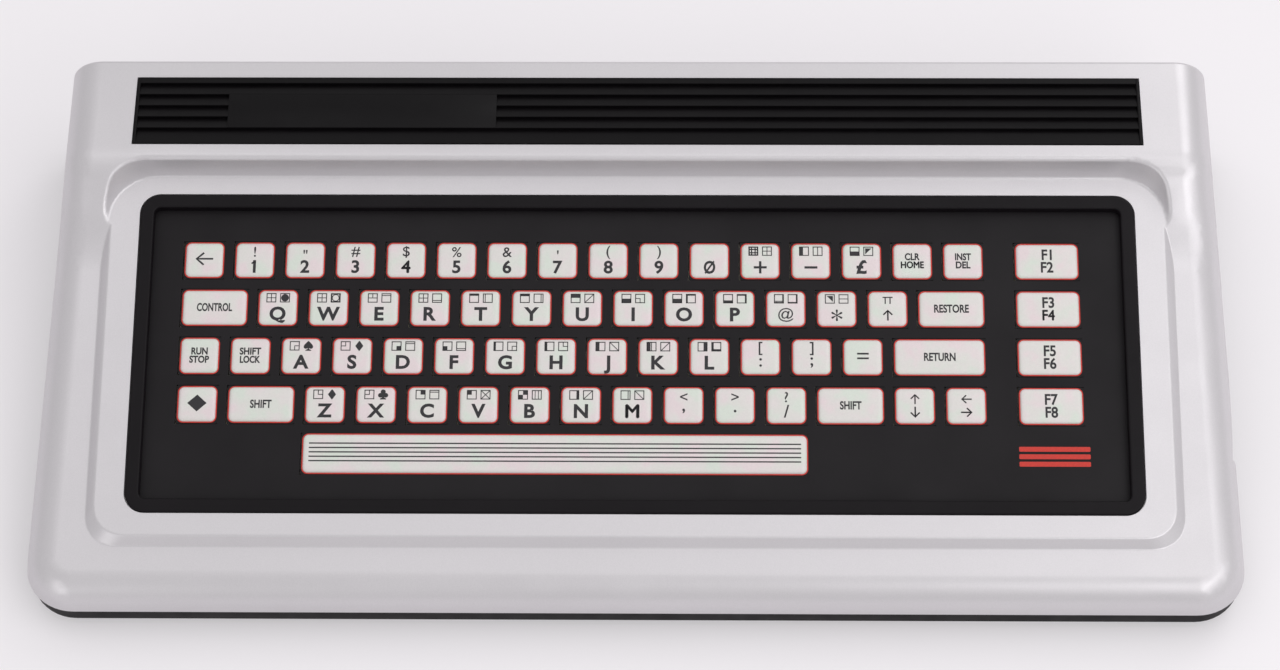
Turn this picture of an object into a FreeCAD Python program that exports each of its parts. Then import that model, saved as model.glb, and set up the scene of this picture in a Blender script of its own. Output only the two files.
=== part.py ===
import FreeCAD
import Part

import math
import os

from FreeCAD import Placement, Rotation, Vector

# Vintage home computer: a low wedge-shaped case in two shells, with a raised keyboard platform, a black
# frame around a sheet of flat key pads, a ribbed strip along the rear deck, and the boards and sockets inside.
# Millimetres. X runs along the keyboard, +Y to the rear, +Z up, and the table is at zero.

# Case
case_width = 360.0
case_depth = 166.0
case_height = 53.5
case_wall = 2.5
seam_share = 0.205607
side_draft = 10.0
front_draft = 6.0
rear_draft = 0.25
corner_margin = 4.522
top_round_share = 1.139
rear_round = 1.3
inner_bevel_share = 0.39
deck_depth = 37.0
bend_slope = 38.0
crest_radius = 16.0
hollow_radius = 40.0
seam_lip = 1.6
seam_lip_wall = 1.1
seam_lip_start = 24.0
fit_gap = 0.25
overrun = 20.0

# Keyboard platform, on a plane that slopes with the keys
key_slope = 9.6
key_plane_y = -8.5
key_plane_share = 0.61682
platform_side = 21.0
platform_front_band = 7.1
platform_rear_band = 3.4
platform_corner = 14.0
platform_step = 2.7
step_run = 2.6
deck_wall_lean = 20.0
pocket_side_share = 0.4
deck_edge_round = 1.8
deck_foot_round = 1.2
platform_edge_round = 1.2
step_foot_round = 0.9

# Keyboard frame
bezel_border = 9.0
bezel_front_and_rear = 66.0
bezel_corner = 6.0
bezel_band = 4.2
bezel_proud = 0.5
bezel_seat = 1.5
bezel_skirt = 1.9
bezel_edge = 0.7
bezel_inner_edge = 0.5

# Key sheets, pads and plate
column_pitch_share = 0.0508
row_pitch_share = 0.1524
first_key_x_share = -0.43467
first_key_y_share = 0.298
pad_gap_x = 3.14
pad_gap_y = 3.54
pad_corner = 1.9
pad_corner_count = 3
wide_pad_share = 1.3123
return_pad_share = 1.7979
function_pad_share = 1.2664
space_pad_share = 9.8425
space_pad_extra = 0.8
pad_rise = 0.8
pad_clearance = 0.25
sheet_margin = 2.5
overlay_thickness = 0.6
spacer_thickness = 1.2
spacer_gap = 0.8
pad_sink = 0.4
circuit_thickness = 0.3
plate_thickness = 1.5
plate_side = 5.4
plate_end = 1.0
keyboard_post = 4.8
keyboard_post_share = 0.42
tail_width = 42.0
tail_reach = 4.4
tail_radius = 2.0
tail_x = 10.0

# Ribbed strip on the deck
strip_side = 27.5
strip_depth = 23.5
strip_thickness = 2.4
strip_proud = 0.4
strip_front_gap = 6.7
rib_pitch = 4.0
rib_first = 2.0
rib_count = 5
rib_groove = 3.1
rib_drop = 1.2
rib_end = 0.9
name_panel_start = 28.3
name_panel_length = 81.6
strip_peg = 3.0
strip_peg_inset = 24.0
strip_peg_tip = 2.0
strip_margin = 2.0

# Base, feet and pillars
base_inset = 0.7
base_bottom = 3.0
base_bevel = 1.6
base_corner = 3.0
base_wall = 2.5
foot_length = 26.0
foot_width = 10.0
foot_taper = 1.0
foot_recess = 0.8
foot_inset_x = 52.0
foot_inset_y = 17.0
pillar = 7.0
pillar_inset_x = 28.0
pillar_inset_y = 17.0
vent_length = 26.0
vent_width = 2.4
vent_pitch = 6.0
vent_count = 7
vent_x = 66.0
vent_y = 34.0

# Main board and what stands on it
board_left_gap = 52.0
board_right_gap = 8.0
board_front_gap = 22.0
board_rear_gap = 9.0
board_thickness = 1.6
standoff = 3.0
standoff_side = 6.0
standoff_inset = 7.0
standoff_shift = 38.0
chip_width = 13.8
long_chip = 52.0
short_chip = 31.0
chip_thickness = 3.8
long_chip_shares = [(0.13, 0.2), (0.13, 0.42), (0.36, 0.2), (0.36, 0.42), (0.59, 0.2)]
short_chip_shares = [(0.56, 0.42), (0.7, 0.42), (0.78, 0.2), (0.84, 0.42)]
regulator_width = 10.0
regulator_thickness = 4.4
regulator_height = 16.0
sink_shares = (0.72, 0.63)
sink_length = 34.0
sink_plate = 2.0
sink_height_share = 0.3738
fin_count = 6
fin_depth = 8.0
fin_thickness = 1.4
ribbon_socket_length = 46.0
ribbon_socket_depth = 5.0
ribbon_socket_height = 9.0
ribbon_bite = 4.0

# Sockets at the rear
socket_setback = 0.8
cartridge_from_left = 66.0
cartridge_length = 62.0
cartridge_height = 13.0
cartridge_depth = 15.0
cartridge_slot_length = 56.0
cartridge_slot_height = 5.0
cartridge_slot_depth = 10.0
cassette_x = -2.0
cassette_width = 26.0
cassette_gap = 2.5
cassette_setback = 3.0
cassette_tongue = 20.0
av_x = 32.0
av_size = 18.0
av_depth = 14.0
av_radius = 6.6
av_recess = 7.0
modulator_x = 84.0
modulator_width = 56.0
modulator_depth = 29.0
modulator_height = 19.0
modulator_overhang = 3.5
modulator_lid = 0.8
jack_offset = 14.0
jack_radius = 4.1
jack_bore = 1.65
jack_bore_depth = 7.0
jack_clearance = 3.0
channel_offset = -12.0
channel_width = 9.0
channel_height = 5.0
channel_travel = 3.0
slider_width = 2.6
slider_height = 2.4
slider_depth = 3.4
slider_gap = 0.1

# Sockets at the right
side_setback = 3.2
port_from_rear = 105.0
port_count = 2
port_pitch = 33.0
port_length = 31.0
port_height = 12.4
port_body_length = 17.0
port_body_depth = 9.0
port_flange = 1.2
port_shell_length = 18.6
port_shell_height = 9.4
port_shell_slant = 1.6
port_shell_wall = 0.6
port_shell_bevel = 1.2
port_shell_depth = 5.2
nut_sides = 6
port_nut_radius = 2.4
port_nut_height = 2.6
port_recess = 5.2
port_nut_spread = 12.5
port_pin = 0.9
port_pin_length = 4.6
port_pin_pitch = 2.74
port_pin_counts = [4, 5]
port_pin_row_gap = 2.84
switch_from_rear = 42.0
switch_length = 15.0
switch_height = 12.0
switch_depth = 13.0
switch_wall = 1.3
rocker_face = 4.6
rocker_back = 2.6
rocker_tilt = 10.0
rocker_pin_sides = 8
rocker_pin_radius = 0.9
rocker_gap = 0.15
power_from_rear = 23.0
power_width = 11.0
power_height = 11.0
power_depth = 13.0
power_bore = 1.8
power_bore_depth = 9.0

# Places that follow from the sizes above
half_width = case_width / 2
half_depth = case_depth / 2
seam_height = seam_share * case_height
deck_front = half_depth - deck_depth
key_plane_z = key_plane_share * case_height
platform_width = case_width - 2 * platform_side
bezel_width = platform_width - 2 * bezel_border
bezel_depth = case_depth - bezel_front_and_rear
platform_front = bezel_depth / 2 + platform_front_band
platform_rear = bezel_depth / 2 + platform_rear_band
column_pitch = column_pitch_share * bezel_width
row_pitch = row_pitch_share * bezel_depth
first_key_x = first_key_x_share * bezel_width
first_key_y = first_key_y_share * bezel_depth
pad_width = column_pitch - pad_gap_x
pad_depth = row_pitch - pad_gap_y
wide_pad_width = wide_pad_share * column_pitch
return_pad_width = return_pad_share * column_pitch
function_pad_width = function_pad_share * column_pitch
space_pad_width = space_pad_share * column_pitch
space_pad_depth = pad_depth + space_pad_extra
keyboard_post_y = keyboard_post_share * bezel_depth
strip_length = case_width - 2 * strip_side
strip_front_y = deck_front + strip_front_gap
board_left = board_left_gap - half_width
board_right = half_width - board_right_gap
cartridge_x = board_left + cartridge_from_left
board_rear = half_depth - board_rear_gap
sink_height = sink_height_share * case_height
port_y = half_depth - port_from_rear
switch_y = half_depth - switch_from_rear
power_y = half_depth - power_from_rear
board_front = port_y - board_front_gap
side_rise = math.tan(math.radians(side_draft))
rear_rise = math.tan(math.radians(rear_draft))
front_rise = math.tan(math.radians(front_draft))
key_plane = Placement(Vector(0, key_plane_y, key_plane_z), Rotation(Vector(1, 0, 0), key_slope))
platform_height = case_wall
border_height = platform_height - platform_step
front_border_z = (key_plane_z + border_height
                  - (half_depth + key_plane_y) * math.tan(math.radians(key_slope)))
top_round = top_round_share * (front_border_z - seam_height)
inner_bevel = inner_bevel_share * top_round
front_corner = top_round + corner_margin
bezel_top = platform_height + bezel_proud
bezel_seat_level = platform_height - bezel_seat
bezel_inner_width = bezel_width - 2 * bezel_band
bezel_inner_depth = bezel_depth - 2 * bezel_band
window_width = bezel_inner_width + 2 * bezel_skirt + 2 * fit_gap
window_depth = bezel_inner_depth + 2 * bezel_skirt + 2 * fit_gap
sheet_width = window_width + 2 * sheet_margin
sheet_depth = window_depth + 2 * sheet_margin
spacer_top = -overlay_thickness
circuit_top = spacer_top - spacer_thickness
plate_top = circuit_top - circuit_thickness
plate_bottom = plate_top - plate_thickness
keyboard_post_x = sheet_width / 2 + keyboard_post / 2 + fit_gap
strip_y = strip_front_y + strip_depth / 2
strip_bottom = case_height + strip_proud - strip_thickness
base_floor = base_bottom + base_wall
board_bottom = base_floor + standoff
board_top = board_bottom + board_thickness
rear_face = half_depth - socket_setback
side_face = half_width - side_setback
modulator_rear = board_rear + modulator_overhang
jack_x = modulator_x + jack_offset
jack_z = board_top + modulator_height / 2
channel_x = modulator_x + channel_offset
switch_z = board_top + switch_height / 2
rocker_x = side_face - rocker_face
rocker_reach = (switch_length / 2 - switch_wall - fit_gap
                - rocker_face * math.sin(math.radians(rocker_tilt))) / math.cos(math.radians(rocker_tilt))


# Outlines and simple solids


def corner_outline(x0, y0, x1, y1, radii, z):
    """A rectangle with its own radius at each corner: front left, front right, rear right, rear left."""
    corners = [(x0, y0, 1, 1), (x1, y0, -1, 1), (x1, y1, -1, -1), (x0, y1, 1, -1)]
    rounds = []
    for index, ((x, y, sx, sy), radius) in enumerate(zip(corners, radii)):
        if radius <= 0:
            rounds.append((Vector(x, y, z), None, Vector(x, y, z)))
            continue
        along = Vector(x + sx * radius, y, z)
        up = Vector(x, y + sy * radius, z)
        pull = radius * (1 - math.sqrt(0.5))
        middle = Vector(x + sx * pull, y + sy * pull, z)
        rounds.append((up, middle, along) if index % 2 == 0 else (along, middle, up))
    edges = []
    for index, (start, middle, end) in enumerate(rounds):
        if middle is not None:
            edges.append(Part.Arc(start, middle, end).toShape())
        following = rounds[(index + 1) % len(rounds)][0]
        if end.distanceToPoint(following) > 0:
            edges.append(Part.LineSegment(end, following).toShape())
    return Part.Wire(edges)


def round_rectangle(width, depth, radius, x=0, y=0, z=0):
    return corner_outline(x - width / 2, y - depth / 2, x + width / 2, y + depth / 2, [radius] * 4, z)


def prism(wire, way):
    return Part.Face(wire).extrude(way)


def slab(width, depth, radius, bottom, top, x=0, y=0):
    """An upright plate with rounded corners, from one height to another."""
    if radius <= 0:
        return block(x - width / 2, x + width / 2, y - depth / 2, y + depth / 2, bottom, top)
    return prism(round_rectangle(width, depth, radius, x, y, bottom), Vector(0, 0, top - bottom))


def block(x0, x1, y0, y1, z0, z1):
    return Part.makeBox(x1 - x0, y1 - y0, z1 - z0, Vector(x0, y0, z0))


def chorded_slab(width, depth, radius, chords, bottom, top, x, y):
    """An upright plate whose rounded corners are short chords, for shapes that repeat many times."""
    points = []
    for quarter, (across, along) in enumerate([(1, 1), (-1, 1), (-1, -1), (1, -1)]):
        centre = Vector(x + across * (width / 2 - radius), y + along * (depth / 2 - radius), bottom)
        for step in range(chords + 1):
            turn = math.radians(90 * (quarter + step / chords))
            points.append(centre + Vector(radius * math.cos(turn), radius * math.sin(turn), 0))
    return prism(Part.makePolygon(points + points[:1]), Vector(0, 0, top - bottom))


def standing_block(side, bottom, top, x, y):
    return slab(side, side, 0, bottom, top, x, y)


def tapered_block(low, high, bottom, top, front_radius, rear_radius):
    """A block between a lower and an upper rectangle (x0, y0, x1, y1), with its standing edges rounded."""
    body = Part.makeWedge(low[0], bottom, -low[3], -high[3], high[0], low[2], top, -low[1], -high[1], high[2])
    body.rotate(Vector(0, 0, 0), Vector(1, 0, 0), 90)
    middle = (low[1] + low[3]) / 2
    for radius, at_rear in ((rear_radius, True), (front_radius, False)):
        if radius > 0:
            standing = edges_where(body, lambda edge: edge.BoundBox.ZLength > (top - bottom) / 2
                                   and (edge.BoundBox.Center.y > middle) == at_rear)
            body = body.makeFillet(radius, standing)
    return body


def rod(radius, start, end):
    along = end - start
    return Part.makeCylinder(radius, along.Length, start, along)


def sided_rod(sides, radius, start, end):
    """A straight bar with that many flat sides."""
    turns = [2 * math.pi * step / sides for step in range(sides)]
    points = [Vector(radius * math.cos(turn), radius * math.sin(turn), 0) for turn in turns]
    along = end - start
    bar = prism(Part.makePolygon(points + points[:1]), Vector(0, 0, along.Length))
    bar.Placement = Placement(start, Rotation(Vector(0, 0, 1), along))
    return bar


def bent_path(points, radii):
    """Straight runs in one plane, joined by tangent arcs at the inner points."""
    edges = []
    start = points[0]
    for before, point, after, radius in zip(points, points[1:], points[2:], radii):
        back = (before - point).normalize()
        ahead = (after - point).normalize()
        half_angle = back.getAngle(ahead) / 2
        reach = radius / math.tan(half_angle)
        first = point + back * reach
        last = point + ahead * reach
        bisector = (back + ahead).normalize()
        middle = point + bisector * (radius / math.sin(half_angle) - radius)
        edges.append(Part.LineSegment(start, first).toShape())
        if radius > 0:
            edges.append(Part.Arc(first, middle, last).toShape())
        start = last
    edges.append(Part.LineSegment(start, points[-1]).toShape())
    return edges


def on_keys(shape):
    """Moves a shape from the flat drawing of the keyboard to its place on the slope."""
    moved = shape.copy()
    moved.Placement = key_plane.multiply(moved.Placement)
    return moved


def key_plane_height(y, height):
    """The height above the table, at a place Y, of the plane that lies a height above the keys."""
    slope = math.radians(key_slope)
    return key_plane_z + (y - key_plane_y) * math.tan(slope) + height / math.cos(slope)


def edges_where(shape, test):
    return [edge for edge in shape.Edges if test(edge)]


# Outer and inner form of the case


def plan_rectangle(inset, z):
    """The case in plan at a height, drawn in by its drafted walls."""
    rise = z - seam_height
    side = half_width - inset - rise * side_rise
    return -side, -half_depth + inset + rise * front_rise, side, half_depth - inset - rise * rear_rise


def side_profile(inset):
    """The top line seen from the side: sloping border, bend and flat deck."""
    border = math.radians(key_slope)
    bend = math.radians(bend_slope)
    deck = case_height - inset
    bend_top = case_height - inset / math.cos(bend) - deck_front * math.tan(bend)
    border_zero = key_plane_height(0, border_height - inset)
    crest_y = (deck - bend_top) / math.tan(bend)
    hollow_y = (border_zero - bend_top) / (math.tan(bend) - math.tan(border))
    ends_y = half_depth + overrun
    line = [
        Vector(0, -ends_y, border_zero - ends_y * math.tan(border)),
        Vector(0, hollow_y, border_zero + hollow_y * math.tan(border)),
        Vector(0, crest_y, deck),
        Vector(0, ends_y, deck),
    ]
    edges = bent_path(line, [hollow_radius + inset, crest_radius - inset])
    below = seam_height - overrun
    floor = [Vector(0, ends_y, below), Vector(0, -ends_y, below)]
    for start, end in zip([line[-1]] + floor, floor + [line[0]]):
        edges.append(Part.LineSegment(start, end).toShape())
    return Part.Wire(edges)


def is_rim(edge):
    """True for the top edges of the left half, but not for the lines that cross the top face."""
    box = edge.BoundBox
    across = box.XLength > half_width / 2 and -half_depth + front_corner < box.YMin < deck_front + strip_side
    return box.ZMin > seam_height + fit_gap and box.XMin < -fit_gap and not across


def is_rear(edge):
    """True for the outline of the rear wall, above the seam."""
    box = edge.BoundBox
    middle = edge.valueAt((edge.FirstParameter + edge.LastParameter) / 2)
    return box.YMin > half_depth - case_wall and middle.z > seam_height + fit_gap and middle.x < -fit_gap


def half_wedge(inset):
    """The left half of the plain wedge: drafted walls under the side profile."""
    top = case_height + overrun
    walls = tapered_block(plan_rectangle(inset, seam_height), plan_rectangle(inset, top), seam_height, top,
                          front_corner - inset, 0)
    profile = side_profile(inset)
    profile.translate(Vector(-case_width, 0, 0))
    return walls.common(prism(profile, Vector(case_width, 0, 0)))


def mirrored(left):
    return left.fuse(left.mirror(Vector(0, 0, 0), Vector(1, 0, 0))).removeSplitter()


def rounded_wedge():
    """The wedge with its top edges rounded: full size along the sides and front, small round the rear wall."""
    left = half_wedge(0)
    rim = edges_where(left, lambda edge: is_rim(edge) and edge.BoundBox.YMin < half_depth - case_wall)
    left = left.makeFillet(top_round, rim)
    return mirrored(left.makeFillet(rear_round, edges_where(left, is_rear)))


def hollow_wedge():
    """The wedge drawn in by the wall, with its top edges bevelled."""
    left = half_wedge(case_wall)
    return mirrored(left.makeChamfer(inner_bevel, edges_where(left, is_rim)))


def pocket(inset, foot_round):
    """The space above the platform, whose rear wall leans back and sweeps round the corners."""
    lean = overrun * math.tan(math.radians(deck_wall_lean))
    side = platform_width / 2 + pocket_side_share * step_run + inset
    rear = platform_rear + step_run + inset
    front = -platform_front - case_depth
    level = platform_height - inset
    space = tapered_block((-side, front, side, rear), (-side - lean, front, side + lean, rear + lean),
                          level, level + overrun, 0, platform_corner + step_run + inset)
    foot = edges_where(space, lambda edge: edge.BoundBox.ZMax < level + fit_gap
                       and edge.BoundBox.YMax > -platform_front)
    if foot_round > 0:
        space = space.makeFillet(foot_round, foot)
    return on_keys(space)


def platform(inset, rim_round):
    """The raised bed of the keyboard, with sloping sides down to the border."""
    drop = platform_step + case_wall
    run = step_run * drop / platform_step
    side = platform_width / 2 - inset
    front = -platform_front + inset
    rear = platform_rear - inset
    top = platform_height - inset
    bed = tapered_block((-side - run, front - run, side + run, rear + run), (-side, front, side, rear),
                        top - drop, top, platform_corner, platform_corner)
    rim = edges_where(bed, lambda edge: edge.BoundBox.ZMin > top - fit_gap)
    if rim_round > 0:
        bed = bed.makeFillet(rim_round, rim)
    return on_keys(bed)


def keyboard_place(edge):
    """The middle of an edge, in the flat drawing of the keyboard."""
    middle = edge.valueAt((edge.FirstParameter + edge.LastParameter) / 2)
    return key_plane.inverse().multVec(middle)


def inner_form():
    """The hollow of the case: the same form, drawn in by the wall."""
    hollow = hollow_wedge().fuse(platform(case_wall, 0)).cut(pocket(case_wall, 0))
    return hollow.removeSplitter().Solids[0]


def outer_form():
    """The case as one solid, with the foot of its platform and the edge of its deck eased."""
    form = rounded_wedge().fuse(platform(0, platform_edge_round)).removeSplitter().Solids[0]
    step_foot = edges_where(
        form,
        lambda edge: abs(keyboard_place(edge).z - border_height) < fit_gap
        and abs(keyboard_place(edge).x) < platform_width / 2 + 2 * step_run
        and -platform_front - 2 * step_run < keyboard_place(edge).y < platform_rear - platform_corner
        and edge.BoundBox.XLength + edge.BoundBox.YLength > 2 * step_run,
    )
    form = form.makeFillet(step_foot_round, step_foot)
    form = form.cut(pocket(0, deck_foot_round)).removeSplitter().Solids[0]
    wall_top = edges_where(
        form,
        lambda edge: keyboard_place(edge).y > platform_rear
        and abs(keyboard_place(edge).x) < overrun
        and keyboard_place(edge).z > platform_height + 2 * deck_foot_round
        and edge.BoundBox.XLength > platform_width / 2
        and edge.BoundBox.YMax < strip_front_y,
    )
    return form.makeFillet(deck_edge_round, wall_top)


# Case shells


def base_outline(inset, z):
    edge = base_inset + inset
    return corner_outline(-half_width + edge, -half_depth + edge, half_width - edge, half_depth - edge,
                          [front_corner - edge, front_corner - edge, base_corner, base_corner], z)


def pillar_places():
    side = half_width - pillar_inset_x
    rear = half_depth - pillar_inset_y
    return [(-side, -rear), (side, -rear), (-side, rear), (side, rear), (0, -rear)]


def standoff_places():
    left = board_left + standoff_inset
    right = board_right - standoff_inset
    front = board_front + standoff_inset
    rear = board_rear - standoff_inset
    return [(left, front), (right, front), (left, rear), (right - standoff_shift, rear)]


def keyboard_post_places():
    return [(side * keyboard_post_x, end * keyboard_post_y) for side in (-1, 1) for end in (-1, 1)]


def foot_places():
    x = half_width - foot_inset_x
    y = half_depth - foot_inset_y
    return [(-x, -y), (x, -y), (-x, y), (x, y)]


def rear_window(x, width, bottom, top):
    return block(x - width / 2 - fit_gap, x + width / 2 + fit_gap, half_depth - overrun / 2,
                 half_depth + overrun, bottom - fit_gap, top + fit_gap)


def right_window(y, width, bottom, top):
    return block(half_width - overrun / 2, half_width + overrun, y - width / 2 - fit_gap,
                 y + width / 2 + fit_gap, bottom - fit_gap, top + fit_gap)


def wall_windows():
    """The openings in the case walls, in front of the sockets."""
    jack_reach = jack_radius + jack_clearance
    ports = [right_window(port_y + index * port_pitch, port_length, board_top, board_top + port_height)
             for index in range(port_count)]
    return ports + [
        right_window(switch_y, switch_length, board_top, board_top + switch_height),
        right_window(power_y, power_width, board_top, board_top + power_height),
        rear_window(cartridge_x, cartridge_length, board_top, board_top + cartridge_height),
        rear_window(cassette_x, cassette_width, board_bottom - cassette_gap, board_top + cassette_gap),
        rear_window(av_x, av_size, board_top, board_top + av_size),
        rear_window(jack_x, 2 * jack_reach, jack_z - jack_reach, jack_z + jack_reach),
        rear_window(channel_x, channel_width, jack_z - channel_height / 2, jack_z + channel_height / 2),
    ]


def cut_all(shape, tools):
    for tool in tools:
        shape = shape.cut(tool)
    return shape


def seam_lips():
    """Ribs inside the straight walls, which reach down into the base."""
    outer_x = half_width - base_inset - base_wall - fit_gap
    outer_y = half_depth - base_inset - base_wall - fit_gap
    long_x = half_width - seam_lip_start
    long_y = half_depth - seam_lip_start
    wall = case_wall - base_inset
    bottom = seam_height - seam_lip
    lips = []
    for side in (-1, 1):
        for reach, low, high in ((seam_lip_wall, bottom, seam_height + seam_lip),
                                 (-wall, seam_height, seam_height + seam_lip)):
            x = sorted([side * outer_x, side * (outer_x - reach)])
            y = sorted([side * outer_y, side * (outer_y - reach)])
            lips.append(block(x[0], x[1], -long_y, long_y, low, high))
            lips.append(block(-long_x, long_x, y[0], y[1], low, high))
    return lips


def top_case(outer, inner):
    kept = [slab(strip_length + 2 * strip_margin, strip_depth + 2 * strip_margin, 0,
                 strip_bottom - case_wall, case_height, 0, strip_y)]
    kept += [standing_block(pillar, 0, case_height, x, y) for x, y in pillar_places()]
    kept += [on_keys(standing_block(keyboard_post, plate_top, overrun, x, y)) for x, y in keyboard_post_places()]
    shell = outer.cut(cut_all(inner, kept)).multiFuse(seam_lips())
    cuts = [
        on_keys(slab(bezel_width + 2 * fit_gap, bezel_depth + 2 * fit_gap, bezel_corner + fit_gap,
                     bezel_seat_level, platform_height + overrun)),
        on_keys(slab(window_width, window_depth, 0, plate_top, platform_height)),
        slab(strip_length + 2 * fit_gap, strip_depth + 2 * fit_gap, 0, strip_bottom, case_height + overrun,
             0, strip_y),
    ]
    cuts += [standing_block(strip_peg + 2 * fit_gap, strip_bottom - overrun / 2, case_height, x, strip_y)
             for x in strip_peg_places()]
    return cut_all(shell, cuts + wall_windows()).removeSplitter()


def base_case():
    body = prism(base_outline(0, base_bottom), Vector(0, 0, seam_height - base_bottom))
    rim = edges_where(body, lambda edge: edge.BoundBox.ZMax < base_bottom + fit_gap)
    body = body.makeChamfer(base_bevel, rim)
    body = body.cut(prism(base_outline(base_wall, base_floor), Vector(0, 0, seam_height)))
    posts = [standing_block(pillar, base_floor, seam_height, x, y) for x, y in pillar_places()]
    posts += [standing_block(standoff_side, base_floor, board_bottom, x, y) for x, y in standoff_places()]
    body = body.multiFuse(posts)
    cuts = wall_windows()
    cuts += [slab(foot_length + 2 * fit_gap, foot_width + 2 * fit_gap, 0, 0, base_bottom + foot_recess, x, y)
             for x, y in foot_places()]
    for side in (-1, 1):
        for index in range(vent_count):
            x = (index - (vent_count - 1) / 2) * vent_pitch + side * vent_x
            cuts.append(slab(vent_width, vent_length, 0, 0, base_floor + fit_gap, x, vent_y))
    return cut_all(body, cuts).removeSplitter()


def rubber_feet():
    top = base_bottom + foot_recess
    feet = []
    for x, y in foot_places():
        wide = foot_length / 2
        deep = foot_width / 2
        feet.append(tapered_block(
            (x - wide + foot_taper, y - deep + foot_taper, x + wide - foot_taper, y + deep - foot_taper),
            (x - wide, y - deep, x + wide, y + deep), 0, top, 0, 0))
    return feet


# Ribbed strip


def strip_peg_places():
    return [side * (strip_length / 2 - strip_peg_inset) for side in (-1, 1)]


def trim_strip():
    """A louvred strip: each rib drops steeply at its front and the floor rises to the next one.

    The middle ribs stop at a plain name panel.
    """
    top = case_height + strip_proud
    left = -strip_length / 2
    rear = strip_front_y + strip_depth
    strip = slab(strip_length, strip_depth, 0, strip_bottom, top, 0, strip_y)
    panel_end = name_panel_start + name_panel_length
    for index in range(rib_count):
        y = rear - rib_first - index * rib_pitch
        spans = [(rib_end, strip_length - rib_end)]
        if 0 < index < rib_count - 1:
            spans = [(rib_end, name_panel_start), (panel_end, strip_length - rib_end)]
        for start, end in spans:
            groove = Part.makePolygon([
                Vector(left + start, y, top + rib_drop),
                Vector(left + start, y, top - rib_drop),
                Vector(left + start, y - rib_groove, top),
                Vector(left + start, y - rib_groove, top + rib_drop),
                Vector(left + start, y, top + rib_drop),
            ])
            strip = strip.cut(prism(groove, Vector(end - start, 0, 0)))
    pegs = [standing_block(strip_peg, strip_bottom - case_wall - strip_peg_tip, strip_bottom, x, strip_y)
            for x in strip_peg_places()]
    return strip.multiFuse(pegs).removeSplitter()


# Keyboard frame, sheets and plate


def keyboard_bezel():
    """A flange that shows on the platform, and a skirt that goes through the case to the key sheet."""
    flange = slab(bezel_width, bezel_depth, bezel_corner, bezel_seat_level, bezel_top)
    rim = edges_where(flange, lambda edge: edge.BoundBox.ZMin > bezel_top - fit_gap)
    skirt = slab(window_width - 2 * fit_gap, window_depth - 2 * fit_gap, 0, 0, bezel_seat_level)
    body = flange.makeChamfer(bezel_edge, rim).fuse(skirt)
    body = body.cut(slab(bezel_inner_width, bezel_inner_depth, 0, -fit_gap, bezel_top + fit_gap))
    wide = bezel_inner_width / 2
    deep = bezel_inner_depth / 2
    edge = bezel_inner_edge
    ease = tapered_block((-wide, -deep, wide, deep), (-wide - edge, -deep - edge, wide + edge, deep + edge),
                         bezel_top - edge, bezel_top, 0, 0)
    return on_keys(body.cut(ease).removeSplitter())


def key_overlay():
    """The printed top sheet, with a window for every pad."""
    sheet = block(-sheet_width / 2, sheet_width / 2, -sheet_depth / 2, sheet_depth / 2, spacer_top, 0)
    windows = []
    for column, row, width, depth in all_keys():
        x, y = key_centre(column, row)
        windows.append(slab(width + 2 * pad_clearance, depth + 2 * pad_clearance, 0, spacer_top - fit_gap, fit_gap, x, y))
    return on_keys(sheet.cut(Part.makeCompound(windows)))


def spacer_sheet():
    """The sheet that keeps the pads off the circuit, with a slot for each row."""
    sheet = block(-sheet_width / 2, sheet_width / 2, -sheet_depth / 2, sheet_depth / 2, circuit_top, spacer_top)
    reach = spacer_gap
    slots = []
    rows = sorted({row for column, row, width, depth in all_keys()})
    for row in rows:
        keys = [key for key in all_keys() if key[1] == row and key[0] != function_column]
        left = min(key_centre(key[0], row)[0] - key[2] / 2 for key in keys) - reach
        right = max(key_centre(key[0], row)[0] + key[2] / 2 for key in keys) + reach
        y = key_centre(0, row)[1]
        half = keys[0][3] / 2 + reach
        slots.append(block(left, right, y - half, y + half, circuit_top - fit_gap, spacer_top + fit_gap))
    x = key_centre(function_column, 0)[0]
    half = function_pad_width / 2 + reach
    top = key_centre(0, 0)[1] + pad_depth / 2 + reach
    bottom = key_centre(0, function_rows - 1)[1] - pad_depth / 2 - reach
    slots.append(block(x - half, x + half, bottom, top, circuit_top - fit_gap, spacer_top + fit_gap))
    return on_keys(sheet.cut(Part.makeCompound(slots)))


def circuit_sheet():
    """The printed circuit under the pads, with the tail that bends down to its socket."""
    sheet = on_keys(block(-sheet_width / 2, sheet_width / 2, -sheet_depth / 2, sheet_depth / 2,
                          plate_top, circuit_top))
    upper = key_plane.multVec(Vector(0, sheet_depth / 2, circuit_top))
    lower = key_plane.multVec(Vector(0, sheet_depth / 2, plate_top))
    outer_y = tail_y()
    inner_y = outer_y - circuit_thickness
    end = tail_end()
    left = tail_x - tail_width / 2
    points = [
        upper,
        Vector(0, outer_y, key_plane_height(outer_y, circuit_top)),
        Vector(0, outer_y, end),
        Vector(0, inner_y, end),
        Vector(0, inner_y, key_plane_height(inner_y, plate_top)),
        lower,
        upper,
    ]
    profile = Part.Wire(bent_path(points, [tail_radius + circuit_thickness, 0, 0, tail_radius, 0]))
    profile.translate(Vector(left, 0, 0))
    return sheet.fuse(prism(profile, Vector(tail_width, 0, 0))).removeSplitter()


def tail_y():
    return key_plane.multVec(Vector(0, sheet_depth / 2, circuit_top)).y + tail_reach


def tail_end():
    return board_top + ribbon_socket_height - ribbon_bite


def backing_plate():
    return on_keys(slab(sheet_width + 2 * plate_side, sheet_depth + 2 * plate_end, 0, plate_bottom, plate_top))


# Keys


def key_centre(column, row):
    return first_key_x + column * column_pitch, first_key_y - row * row_pitch


def all_keys():
    """Every pad as its column and row in key pitches, its width and its depth."""
    return [key for keys in key_table.values() for key in keys]


def unit_keys(columns, row):
    return [(column, row, pad_width, pad_depth) for column in columns]


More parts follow.
